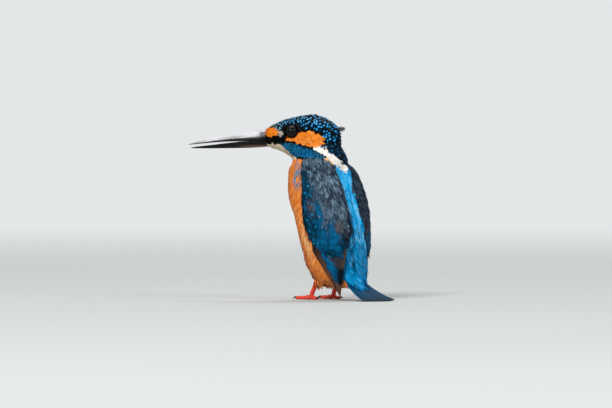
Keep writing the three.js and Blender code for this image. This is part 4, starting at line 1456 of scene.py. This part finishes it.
def tail_feathers(material, rng):
    root, bend, tip = TAIL_CURVE + ORIGIN
    feathers = []
    for pair in range(TAIL_PAIRS - 1, -1, -1):
        for side in (1, -1):

            def place_at(t, x, pair=pair, side=side):
                share = t * (1 - 0.022 * pair)
                s = share[..., None]
                place = root * (1 - s) ** 2 + bend * 2 * s * (1 - s) + tip * s**2
                way = unit((bend - root) * (1 - s) + (tip - bend) * s)
                out = np.stack([0 * t, -way[..., 2], way[..., 1]], -1)
                half = (1.35 + 1.2 * t) * quill_outline(t, TAIL_TIP)
                fan = share * TAIL_RUN * 0.055 * (pair * 0.6 + 0.4)
                centre = side * ((0.5 + pair) * 0.55 + fan)
                place = place + np.stack([centre + x * half, 0 * t, 0 * t], -1)
                return place - out * (0.12 * pair + 0.04 * (side < 0) - 0.24), out

            points, faces, vane = long_feather(place_at, TAIL_ROWS, TAIL_TIP, lambda t: 0 * t, rng, 0.004)
            points[:, 2] = np.maximum(points[:, 2], ORIGIN[2] + 0.02)
            edge = np.abs(vane[:, 0] - 0.5) * 2
            dark = 0.6 * smoothstep(0.6, 1.0, vane[:, 1]) + 0.5 * smoothstep(0.92, 1, edge)
            tint = blend(spread(len(vane), rgb("tail")), rgb("tail_edge"), smoothstep(0.3, 0.85, edge))
            feathers.append((points, faces, vane, blend(tint, rgb("quill"), dark)))
    return feather_set("tail_feathers", feathers, material, "tail_feathers", ["tail"])


# ---- bill ----

# Bill sections: distance ahead, upper edge, lower edge, half the width.
UPPER_BILL = np.array([
    [15.5, 2.5, -3.0, 3.6], [21.3, 2.6, -3.3, 4.1], [27.6, 1.8, -3.4, 3.5], [32.0, 1.0, -3.45, 3.0],
    [36.0, 0.4, -3.5, 2.6], [41.0, -0.6, -3.7, 2.15], [47.0, -1.8, -4.1, 1.55], [53.0, -3.2, -4.7, 0.95],
    [57.2, -4.3, -5.1, 0.5], [59.5, -5.0, -5.3, 0.16]])
LOWER_BILL = np.array([
    [15.5, -3.1, -6.0, 3.4], [21.3, -3.35, -6.6, 3.9], [27.6, -3.45, -6.95, 3.3], [32.0, -3.55, -7.05, 2.9],
    [36.0, -3.95, -7.1, 2.5], [41.0, -4.55, -7.15, 2.0], [47.0, -5.3, -7.2, 1.45], [53.0, -5.95, -7.2, 0.9],
    [56.6, -6.4, -7.15, 0.5], [58.3, -6.75, -7.0, 0.16]])
BILL_SIDES, BILL_ROWS = 48, 90
# The nostril's slit, and the patch round it that the painted highlight leaves out, as a middle and a reach.
NOSTRIL, NOSTRIL_NO_HIGHLIGHT = ((21.9, -0.1), (1.7, 0.42)), ((21.0, 0.3), (1.8, 1.1))


def bill_half(sections, upper):
    """A mandible: a ridge on its outer side, a nearly flat inner side and a sharp cutting edge between."""
    along = np.linspace(0, 1, BILL_ROWS) ** 0.9
    ahead = sections[0, 0] + (sections[-1, 0] - sections[0, 0]) * along
    top, bottom, half = (np.interp(ahead, sections[:, 0], sections[:, c]) for c in (1, 2, 3))
    for _ in range(6):  # rounds the sections' corners
        for values in (top, bottom, half):
            values[1:-1] = (values[:-2] + 2 * values[1:-1] + values[2:]) / 4
    turn = np.linspace(0, 2 * math.pi, BILL_SIDES, endpoint=False)
    c, s = np.cos(turn), np.sin(turn)
    across = np.sign(c) * np.abs(c) ** 0.95
    rings = np.empty((BILL_ROWS, BILL_SIDES, 3))
    for r in range(BILL_ROWS):
        edge = bottom[r] if upper else top[r]
        crest = top[r] - bottom[r]
        rise = np.where(s >= 0, np.abs(s) ** 1.15 * crest, 0.06 * crest * np.abs(s))
        up = edge + rise if upper else edge - rise
        rings[r] = from_head(np.full(BILL_SIDES, ahead[r]), across * half[r], up)
        if upper:
            rings[r] -= (0.55 * patch(ahead[r], up, *NOSTRIL) * np.sign(c))[:, None] * SIDE
    return loft(rings)


def bill_material():
    """Black horn with a painted highlight, pale and bluish, along the ridge, and flesh-coloured at the lower
    half's root.
    """
    material, tree, shader = new_material("bill_horn", 0.26, 0.18)
    # The ridge attribute is the share of the upper half's painted highlight.
    ridge = add_node(tree, "ShaderNodeAttribute", attribute_name="ridge").outputs["Fac"]
    grain = noise(tree, 900.0, 4.0)
    broken_highlight = math_node(tree, "MULTIPLY", ridge, math_node(tree, "MULTIPLY_ADD", grain, 0.5, 0.55), clamp=True)
    root = add_node(tree, "ShaderNodeAttribute", attribute_name="root").outputs["Fac"]
    black = rgb("bill", "bare")
    mottle = math_node(tree, "MULTIPLY_ADD", grain, 0.8, -0.1)
    flesh = mix_colour(tree, mottle, black, rgb("bill_base", "bare"))
    horn = mix_colour(tree, root, black, flesh)
    wire(tree, mix_colour(tree, broken_highlight, horn, rgb("bill_painted_highlight", "bare")), shader.inputs["Base Color"])
    wire(tree, math_node(tree, "MULTIPLY_ADD", grain, 0.18, 0.18), shader.inputs["Roughness"])
    add_bump(tree, shader, grain, 0.15, 0.00008)
    return material


def painted_ridge_highlight(ahead, up):
    """How much painted highlight the upper half has: in streaks along its ridge, and not beside the nostril.
    """
    top, low = (np.interp(ahead, UPPER_BILL[:, 0], UPPER_BILL[:, column]) for column in (1, 2))
    level = (up - low) / np.maximum(top - low, 0.3)
    grain = streaks(level * 4, ahead * 0.7, 2.0)
    ridge = smoothstep(0.34, 0.66, level + 0.12 * (grain - 0.5))
    ridge *= (0.35 + 0.65 * smoothstep(60, 46, ahead)) * (0.62 + 0.38 * grain)
    return ridge * (1 - 0.85 * patch(ahead, up, *NOSTRIL_NO_HIGHLIGHT, 4))


def make_bill():
    material = bill_material()
    for name, node, sections in (("upper_mandible", "upper_bill", UPPER_BILL),
                                 ("lower_mandible", "lower_bill", LOWER_BILL)):
        upper = sections is UPPER_BILL
        points, faces = bill_half(sections, upper)
        mesh = new_mesh(name, points, faces)
        ahead, _, up = head_frame(np.array(points))
        root = smoothstep(36, 25, ahead) * smoothstep(-4.9, -6.2, up)
        # The ridge attribute holds the upper half's painted highlight.
        write_attribute(mesh, "ridge", "FLOAT", painted_ridge_highlight(ahead, up) if upper else 0 * ahead)
        write_attribute(mesh, "root", "FLOAT", 0 * ahead if upper else root)
        outward(mesh)
        finish_piece(new_object(name, mesh, material), "bill_horn", node)


# ---- eyes ----

def eye_material():
    material, tree, shader = new_material("eyeball", 0.03, 0.15, coat=0.02)
    gaze = add_node(tree, "ShaderNodeAttribute", attribute_name="gaze").outputs["Fac"]
    iris = mix_colour(tree, ramp(tree, gaze, 0.68, 0.62), (0.002, 0.002, 0.002), rgb("iris", "bare"))
    threads = times(tree, noise(tree, 2600.0, 2.0), 0.5)
    wire(tree, mix_colour(tree, threads, iris, (0.2, 0.2, 0.2), "MULTIPLY"), shader.inputs["Base Color"])
    return material


def lid_material():
    material, tree, shader = new_material("eyelid_skin", 0.5, 0.2)
    grain = noise(tree, 3000.0)
    tone = rgb("lid", "bare")
    wire(tree, mix_colour(tree, grain, tone * 0.6, tone * 1.5), shader.inputs["Base Color"])
    add_bump(tree, shader, grain, 0.4, 0.0001)
    return material


def make_eyes():
    eye_skin, lid_skin = eye_material(), lid_material()
    turn = np.linspace(0, 2 * math.pi, 40, endpoint=False)[:, None]
    around = np.cos(turn) * AHEAD + np.sin(turn) * UP
    for label, sign in (("left", 1), ("right", -1)):
        out = SIDE * sign
        centre = EYES[label]
        rings = []
        for polar in np.linspace(0.02, 0.75, 26) * math.pi:
            bulge = 1 + 0.035 * math.exp(-((polar / 0.5) ** 2))
            rings.append(centre + EYE_RADIUS * bulge * (math.cos(polar) * out + math.sin(polar) * around))
        points, faces = loft(np.array(rings))
        mesh = new_mesh(f"eyeball_{label}", points, faces)
        write_attribute(mesh, "gaze", "FLOAT", unit(np.array(points) - centre) @ out)
        outward(mesh)
        finish_piece(new_object(f"eyeball_{label}", mesh, eye_skin), "eye", f"eye_{label}")
        finish_piece(eyelid(label, out, centre, lid_skin), "eye")


def eyelid(label, out, centre, material):
    """A ring of bare skin round the eye: a beaded rim, and the lids' skin over the rest of the ball."""
    sides, steps = 16, 72
    rings = []
    for turn in np.linspace(0, 2 * math.pi, steps, endpoint=False):
        across = math.cos(turn) * AHEAD + math.sin(turn) * UP
        open_at = EYE_OPENING * (1 - 0.07 * math.sin(turn) ** 2)
        depth = math.sqrt(EYE_RADIUS**2 - open_at**2) + 0.05
        thick = 0.15 + 0.06 * max(math.sin(turn), 0) + 0.015 * math.sin(turn * 24)
        bend = np.linspace(-math.pi / 2, math.pi / 2, sides // 2)[:, None]
        rim = centre + across * open_at + out * depth
        rim = rim + thick * (np.sin(bend) * out - np.cos(bend) * across)
        polar = np.linspace(math.asin(open_at / EYE_RADIUS) + 0.08, 1.75, sides // 2)[:, None]
        over = EYE_RADIUS + 0.17 - 0.1 * smoothstep(0.8, 1.3, polar)
        rings.append(np.concatenate([rim, centre + over * (np.sin(polar) * across + np.cos(polar) * out)]))
    points = np.concatenate(rings)
    # The last ring joins the first one.
    faces = [tuple(i % len(points) for i in face) for face in grid_faces(steps + 1, sides, closed=True)]
    mesh = new_mesh(f"eyelid_{label}", points, faces)
    outward(mesh)
    return new_object(f"eyelid_{label}", mesh, material)


# ---- legs and feet ----

def tube(places, radii, sides, steps):
    """A round limb through places, with radii evenly spaced along it, as loft rings."""
    middles, ways = even_curve(places, steps + 1)
    spread_radii = np.interp(np.linspace(0, 1, steps + 1), np.linspace(0, 1, len(radii)), radii)
    rings = []
    for middle, way, radius in zip(middles, ways, spread_radii):
        beside = np.cross(UP, way)
        if np.linalg.norm(beside) < 0.2:
            beside = np.array([1.0, 0, 0])
        beside = unit(beside)
        over = np.cross(way, beside)
        turn = np.linspace(0, 2 * math.pi, sides, endpoint=False)
        rings.append(middle + radius * (np.cos(turn)[:, None] * beside + np.sin(turn)[:, None] * over))
    return np.array(rings)


def leg_material():
    """Orange-red scaled skin."""
    material, tree, shader = new_material("leg_skin", 0.42, 0.45, coat=0.1)
    place = add_node(tree, "ShaderNodeTexCoord").outputs["Object"]
    cells = add_node(tree, "ShaderNodeTexVoronoi", feature="DISTANCE_TO_EDGE", in_Scale=2500.0)
    wire(tree, place, cells.inputs["Vector"])
    grooves = ramp(tree, cells.outputs["Distance"], -0.05, 0.2)
    blotch = noise(tree, 500.0)
    tint = mix_colour(tree, grooves, rgb("leg_scale", "bare"), rgb("leg", "bare"))
    tint = mix_colour(tree, times(tree, blotch, 0.4), tint, (0.75, 0.45, 0.4), "MULTIPLY")
    wire(tree, tint, shader.inputs["Base Color"])
    add_bump(tree, shader, grooves, 0.5, 0.00012)
    return material


def claw_material():
    material, tree, shader = new_material("claw_horn", 0.3, 0.5)
    grain = noise(tree, 1200.0)
    tone = rgb("claw", "bare")
    wire(tree, mix_colour(tree, grain, tone, tone * 2.2), shader.inputs["Base Color"])
    add_bump(tree, shader, grain, 0.2, 0.0001)
    return material


TOE_SIDES, TOE_STEPS = 20, 44
TOE_JOINTS, TOE_SCUTES = 3, 11  # along one toe


def toe_rings(side, toe):
    """Rings of one toe, with swollen joints and scutes across its top."""
    heading, reach, claw, radius = toe
    angle = math.radians(heading)
    way = np.array([side * math.sin(angle), -math.cos(angle), 0])
    ankle = np.array([side * ANKLE[0], ANKLE[1], 0]) + ORIGIN

    def at(run, height):
        return ankle + way * run + UP * height

    places = [at(-0.3, 1.5), at(reach * 0.3, 1.05), at(reach * 0.65, 0.8), at(reach, 0.78)]
    rings = tube(places, [share * radius for share in (1.05, 1.08, 0.98, 0.8)], TOE_SIDES, TOE_STEPS)
    run = np.linspace(0, 1, TOE_STEPS + 1)
    swell = 1 + 0.1 * np.cos(run * 2 * math.pi * TOE_JOINTS) * smoothstep(0.1, 0.3, run)
    scute = 0.05 * np.abs(np.sin(run * math.pi * TOE_SCUTES))
    for k, ring in enumerate(rings):
        middle = ring.mean(0)
        arm = ring - middle
        top = np.clip(unit(arm) @ UP, 0, 1)[:, None]
        ring[:] = middle + arm * swell[k] + unit(arm) * scute[k] * top
    claw_places = [at(reach - 0.5, 0.95), at(reach + claw * 0.35, 1.15), at(reach + claw * 0.75, 0.85),
                   at(reach + claw, 0.3)]
    claw_rings = tube(claw_places, [0.58, 0.5, 0.32, 0.06], 12, 16)
    return rings, claw_rings


def make_feet():
    skin, horn = leg_material(), claw_material()
    for label, side in (("left", 1), ("right", -1)):
        mirror = np.array([side, 1, 1])
        toes, claws = [], []
        for toe in TOES:
            toe_made, claw_made = toe_rings(side, toe)
            toes.append(loft(toe_made))
            claws.append(loft(claw_made))
        ankle, hip = ANKLE * mirror + ORIGIN, HIP * mirror + ORIGIN
        shank = tube([ankle - 1.1 * UP, ankle, ankle + 0.4 * (hip - ankle), ankle + 0.62 * (hip - ankle)],
                     [1.2, 1.12, 1.15, 1.5], 24, 40)
        middles = shank.mean(1, keepdims=True)
        plates = 0.05 * np.abs(np.sin(np.linspace(0, 9 * math.pi, len(shank))))[:, None, None]
        shank += unit(shank - middles) * plates
        for name, parts, material in ((f"foot_skin_{label}", [*toes, loft(shank)], skin),
                                      (f"claws_{label}", claws, horn)):
            points, faces = joined(parts)
            points = np.array(points)
            points[:, 2] = np.maximum(points[:, 2], ORIGIN[2])
            mesh = new_mesh(name, points, faces)
            outward(mesh)
            piece = new_object(name, mesh, material)
            finish_piece(piece, "leg_skin", *([f"foot_{label}"] if "foot" in name else []))


# ---- stage ----

FLOOR_REACH, FLOOR_SIDES = 1900.0, 96


def floor_material():
    material, tree, shader = new_material("studio_floor", 0.6, 0.25)
    haze = noise(tree, 3.0, 2.0)
    tone = rgb("floor", "stage")
    wire(tree, mix_colour(tree, haze, tone * 0.97, tone), shader.inputs["Base Color"])
    # The floor thins out towards its rim, so that it has no edge against the background.
    place = add_node(tree, "ShaderNodeTexCoord").outputs["Object"]
    away = add_node(tree, "ShaderNodeVectorMath", operation="LENGTH")
    wire(tree, place, away.inputs[0])
    rim = FLOOR_REACH * MM
    wire(tree, ramp(tree, away.outputs["Value"], rim, rim * 0.25), shader.inputs["Alpha"])
    return material


def make_floor():
    """A round floor, far wider than the bird."""
    turn = np.linspace(0, 2 * math.pi, FLOOR_SIDES, endpoint=False)
    rings = [np.stack([r * np.cos(turn), r * np.sin(turn), 0 * turn], 1) for r in (1.0, 300.0, FLOOR_REACH)]
    faces = [face[::-1] for face in grid_faces(len(rings), FLOOR_SIDES, closed=True)]
    faces.append(tuple(range(FLOOR_SIDES)))
    return new_object("floor", new_mesh("floor", np.concatenate(rings), faces), floor_material())


LIGHT_AIM = Vector((0, 0, 0.05))  # the place that all lights face, in metres
# Softboxes: degrees beside the camera, elevation, distance and size in metres, power in watts, and tint.
SOFTBOXES = {
    "key": (-27, 38, 3.4, 1.1, 104.0, (1.0, 0.985, 0.96)),
    "fill": (48, 24, 3.6, 1.8, 44.0, (0.95, 0.98, 1.0)),
    "top": (165, 62, 3.2, 1.2, 50.0, (1.0, 1.0, 1.0)),
}


def way_to(azimuth, elevation):
    """The direction from the bird to something at an azimuth and elevation in radians."""
    level = math.cos(elevation)
    return Vector((math.sin(azimuth) * level, -math.cos(azimuth) * level, math.sin(elevation)))


def add_softbox(name, azimuth, elevation, distance, size, power, tint):
    """A soft light that faces the bird, at an angle counted as the camera's."""
    light = bpy.data.lights.new(name, "AREA")
    light.energy, light.size, light.color = power, size, tint
    lamp = bpy.data.objects.new(name, light)
    bpy.context.scene.collection.objects.link(lamp)
    way = way_to(math.radians(azimuth), math.radians(elevation))
    lamp.location = LIGHT_AIM + way * distance
    lamp.rotation_euler = way.to_track_quat("Z", "Y").to_euler()


def studio_world():
    """A pale background with softer light than it shows."""
    world = bpy.data.worlds.new("studio")
    world.use_nodes = True
    tree = world.node_tree
    lit = tree.nodes["Background"]
    lit.inputs["Color"].default_value = (0.93, 0.96, 1.0, 1)
    lit.inputs["Strength"].default_value = 0.36
    shown = add_node(tree, "ShaderNodeBackground", in_Color=(0.78, 0.8, 0.8, 1), in_Strength=1.0)
    choose = add_node(tree, "ShaderNodeMixShader")
    wire(tree, add_node(tree, "ShaderNodeLightPath").outputs["Is Camera Ray"], choose.inputs[0])
    wire(tree, lit.outputs[0], choose.inputs[1])
    wire(tree, shown.outputs[0], choose.inputs[2])
    wire(tree, choose.outputs[0], tree.nodes["World Output"].inputs["Surface"])
    return world


VIEW_MIDDLE = (2.3, 49.9)  # the view's middle, beside and above the origin as the camera sees it


def make_camera():
    stage = settings("stage")
    back = way_to(stage.azimuth, stage.elevation)
    beside = Vector((math.cos(stage.azimuth), math.sin(stage.azimuth), 0))
    over = back.cross(beside)
    data = bpy.data.cameras.new("camera")
    data.lens = stage.lens
    distance = stage.field * stage.lens / data.sensor_width
    camera = bpy.data.objects.new("camera", data)
    bpy.context.scene.collection.objects.link(camera)
    camera.location = beside * VIEW_MIDDLE[0] * MM + over * VIEW_MIDDLE[1] * MM + back * distance
    camera.rotation_euler = back.to_track_quat("Z", "Y").to_euler()
    data.clip_start, data.clip_end = 0.1, 50
    bpy.context.scene.camera = camera


# ---- operators ----

class KINGFISHER_OT_skin(bpy.types.Operator):
    """Makes the one skin under the plumage, from the flesh solids"""
    bl_idname = "kingfisher.skin"
    bl_label = "Skin"

    def execute(self, context):
        skin = make_skin()
        points = read_points(skin.data)
        rng = np.random.default_rng(settings("coat").seed)
        marks = Marks(points, Surface().on_wing(points), rng)
        write_attribute(skin.data, "plume", "FLOAT_COLOR", marks.base)
        skin.data.materials.clear()
        skin.data.materials.append(skin_material())
        finish_piece(skin, "breast_feathers", *FLESH)
        return {"FINISHED"}


class KINGFISHER_OT_head_coat(bpy.types.Operator):
    """Plants the feathers of the head and neck"""
    bl_idname = "kingfisher.head_coat"
    bl_label = "Head feathers"

    def execute(self, context):
        coat = settings("coat")
        rng = np.random.default_rng(coat.seed)
        firm = plume_material("crown_plumes", 0.4, 0.1, gloss=BLUE_GLOSS)
        dark = plume_material("face_plumes", 0.5, 0.06)
        silk = plume_material("cheek_plumes", 0.6, 0.12, 0.06)
        grow("crown_plumes", ("crown",), scale_pattern(rng), coat.crown_spacing, crown_size, firm,
             "crown_feathers", 11, width=1.0, lift=9, loose=0.01, depth=0.6, extra=crest_feathers)
        grow("malar_plumes", ("malar",), contour_pattern(rng), coat.cheek_spacing, crown_size, firm,
             "neck_feathers", 14, lift=6, loose=0.015, depth=0.75)
        grow("face_plumes", ("black", "lore"), silk_pattern(rng), coat.face_spacing, face_size, dark,
             "crown_feathers", 12)
        grow("cheek_plumes", ("ear", "white", "throat"), silk_pattern(rng), coat.cheek_spacing, silk_size,
             silk, "neck_feathers", 13, depth=0.82)
        return {"FINISHED"}


class KINGFISHER_OT_body_coat(bpy.types.Operator):
    """Plants the feathers of the breast, belly, back and rump"""
    bl_idname = "kingfisher.body_coat"
    bl_label = "Body feathers"

    def execute(self, context):
        coat = settings("coat")
        rng = np.random.default_rng(coat.seed + 1)
        soft = plume_material("breast_plumes", 0.6, 0.12, 0.06)
        bright = plume_material("back_plumes", 0.45, 0.07, gloss=BLUE_GLOSS)
        for label, sign, seed in (("left", 1, 21), ("right", -1, 22)):
            grow(f"breast_plumes_{label}", ("breast",), contour_pattern(rng), coat.breast_spacing, body_size,
                 soft, "breast_feathers", seed, lift=7, depth=0.85, part=on_side(sign))
        grow("back_plumes", ("back",), mantle_pattern(rng), coat.back_spacing, back_size, bright,
             "breast_feathers", 23, width=0.8, lift=7, loose=0.012, depth=0.8,
             part=lambda points: height_of(points) > BACK_FROM)
        grow("rump_plumes", ("back",), rump_pattern(rng), coat.back_spacing, rump_size, bright,
             "breast_feathers", 24, width=1.0, lift=6, loose=0.006, depth=0.78,
             part=lambda points: height_of(points) <= RUMP_TO, extra=rump_overlap)
        return {"FINISHED"}


class KINGFISHER_OT_wing_coat(bpy.types.Operator):
    """Plants the scapulars and the wing coverts"""
    bl_idname = "kingfisher.wing_coat"
    bl_label = "Wing coverts"

    def execute(self, context):
        coat = settings("coat")
        rng = np.random.default_rng(coat.seed + 2)
        firm = plume_material("covert_plumes", 0.4, 0.1, gloss=BLUE_GLOSS, spot=(0.25, 0.13))
        soft = plume_material("scapular_plumes", 0.42, 0.14)
        for label, sign, seed in (("left", 1, 31), ("right", -1, 32)):
            grow(f"covert_plumes_{label}", ("covert",), covert_pattern(rng), coat.covert_spacing, wing_size,
                 firm, "wing_coverts", seed, lift=5, loose=0.008, part=on_side(sign))
            grow(f"scapular_plumes_{label}", ("scapular",), mantle_pattern(rng), coat.mantle_spacing,
                 wing_size, soft, "wing_coverts", seed + 10, lift=6, part=on_side(sign))
        return {"FINISHED"}


class KINGFISHER_OT_quills(bpy.types.Operator):
    """Makes the flight feathers of both wings and the tail feathers"""
    bl_idname = "kingfisher.quills"
    bl_label = "Flight and tail feathers"

    def execute(self, context):
        rng = np.random.default_rng(settings("coat").seed + 3)
        flight = plume_material("flight_webs", 0.45, 0.08, barb_depth=0.25, gloss=BLUE_GLOSS)
        tail = plume_material("tail_webs", 0.45, 0.06, barb_depth=0.25, gloss=BLUE_GLOSS)
        flight_feathers(1, "left", flight, rng)
        flight_feathers(-1, "right", flight, rng)
        tail_feathers(tail, rng)
        return {"FINISHED"}


class KINGFISHER_OT_bill(bpy.types.Operator):
    """Makes both halves of the bill"""
    bl_idname = "kingfisher.bill"
    bl_label = "Bill"

    def execute(self, context):
        make_bill()
        return {"FINISHED"}


class KINGFISHER_OT_eyes(bpy.types.Operator):
    """Makes the eyes and their lids"""
    bl_idname = "kingfisher.eyes"
    bl_label = "Eyes"

    def execute(self, context):
        make_eyes()
        return {"FINISHED"}


class KINGFISHER_OT_feet(bpy.types.Operator):
    """Makes the shanks, toes and claws"""
    bl_idname = "kingfisher.feet"
    bl_label = "Legs and feet"

    def execute(self, context):
        make_feet()
        return {"FINISHED"}


class KINGFISHER_OT_stage(bpy.types.Operator):
    """Makes the floor, the lights and the camera"""
    bl_idname = "kingfisher.stage"
    bl_label = "Stage"

    def execute(self, context):
        make_floor()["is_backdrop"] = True
        azimuth = math.degrees(settings("stage").azimuth)
        for name, (beside, *lamp) in SOFTBOXES.items():
            add_softbox(name, azimuth + beside, *lamp)
        bpy.context.scene.world = studio_world()
        bpy.context.scene.view_settings.view_transform = "Standard"
        make_camera()
        return {"FINISHED"}


STEPS = (KINGFISHER_OT_skin, KINGFISHER_OT_head_coat, KINGFISHER_OT_body_coat, KINGFISHER_OT_wing_coat,
         KINGFISHER_OT_quills, KINGFISHER_OT_bill, KINGFISHER_OT_eyes, KINGFISHER_OT_feet,
         KINGFISHER_OT_stage)


class KINGFISHER_PT_panel(bpy.types.Panel):
    """Lists the kingfisher's pieces and their settings"""
    bl_label = "Kingfisher"
    bl_idname = "KINGFISHER_PT_panel"
    bl_space_type = "VIEW_3D"
    bl_region_type = "UI"
    bl_category = "Kingfisher"

    def draw(self, context):
        for name, group in SETTINGS.items():
            box = self.layout.box()
            for key in group.__annotations__:
                box.prop(getattr(context.scene, name), key)
        for step in STEPS:
            self.layout.operator(step.bl_idname)


CLASSES = (*SETTINGS.values(), *STEPS, KINGFISHER_PT_panel)


def register():
    for made in CLASSES:
        bpy.utils.register_class(made)
    for name, group in SETTINGS.items():
        setattr(bpy.types.Scene, name, PointerProperty(type=group))


def unregister():
    for name in SETTINGS:
        delattr(bpy.types.Scene, name)
    for made in reversed(CLASSES):
        bpy.utils.unregister_class(made)


def main():
    register()
    for step in STEPS:
        getattr(bpy.ops.kingfisher, step.bl_idname.split(".")[1])()
    cad, made = [[list(corner) for corner in box] for box in (CAD_BOX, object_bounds())]


if __name__ == "__main__":
    main()
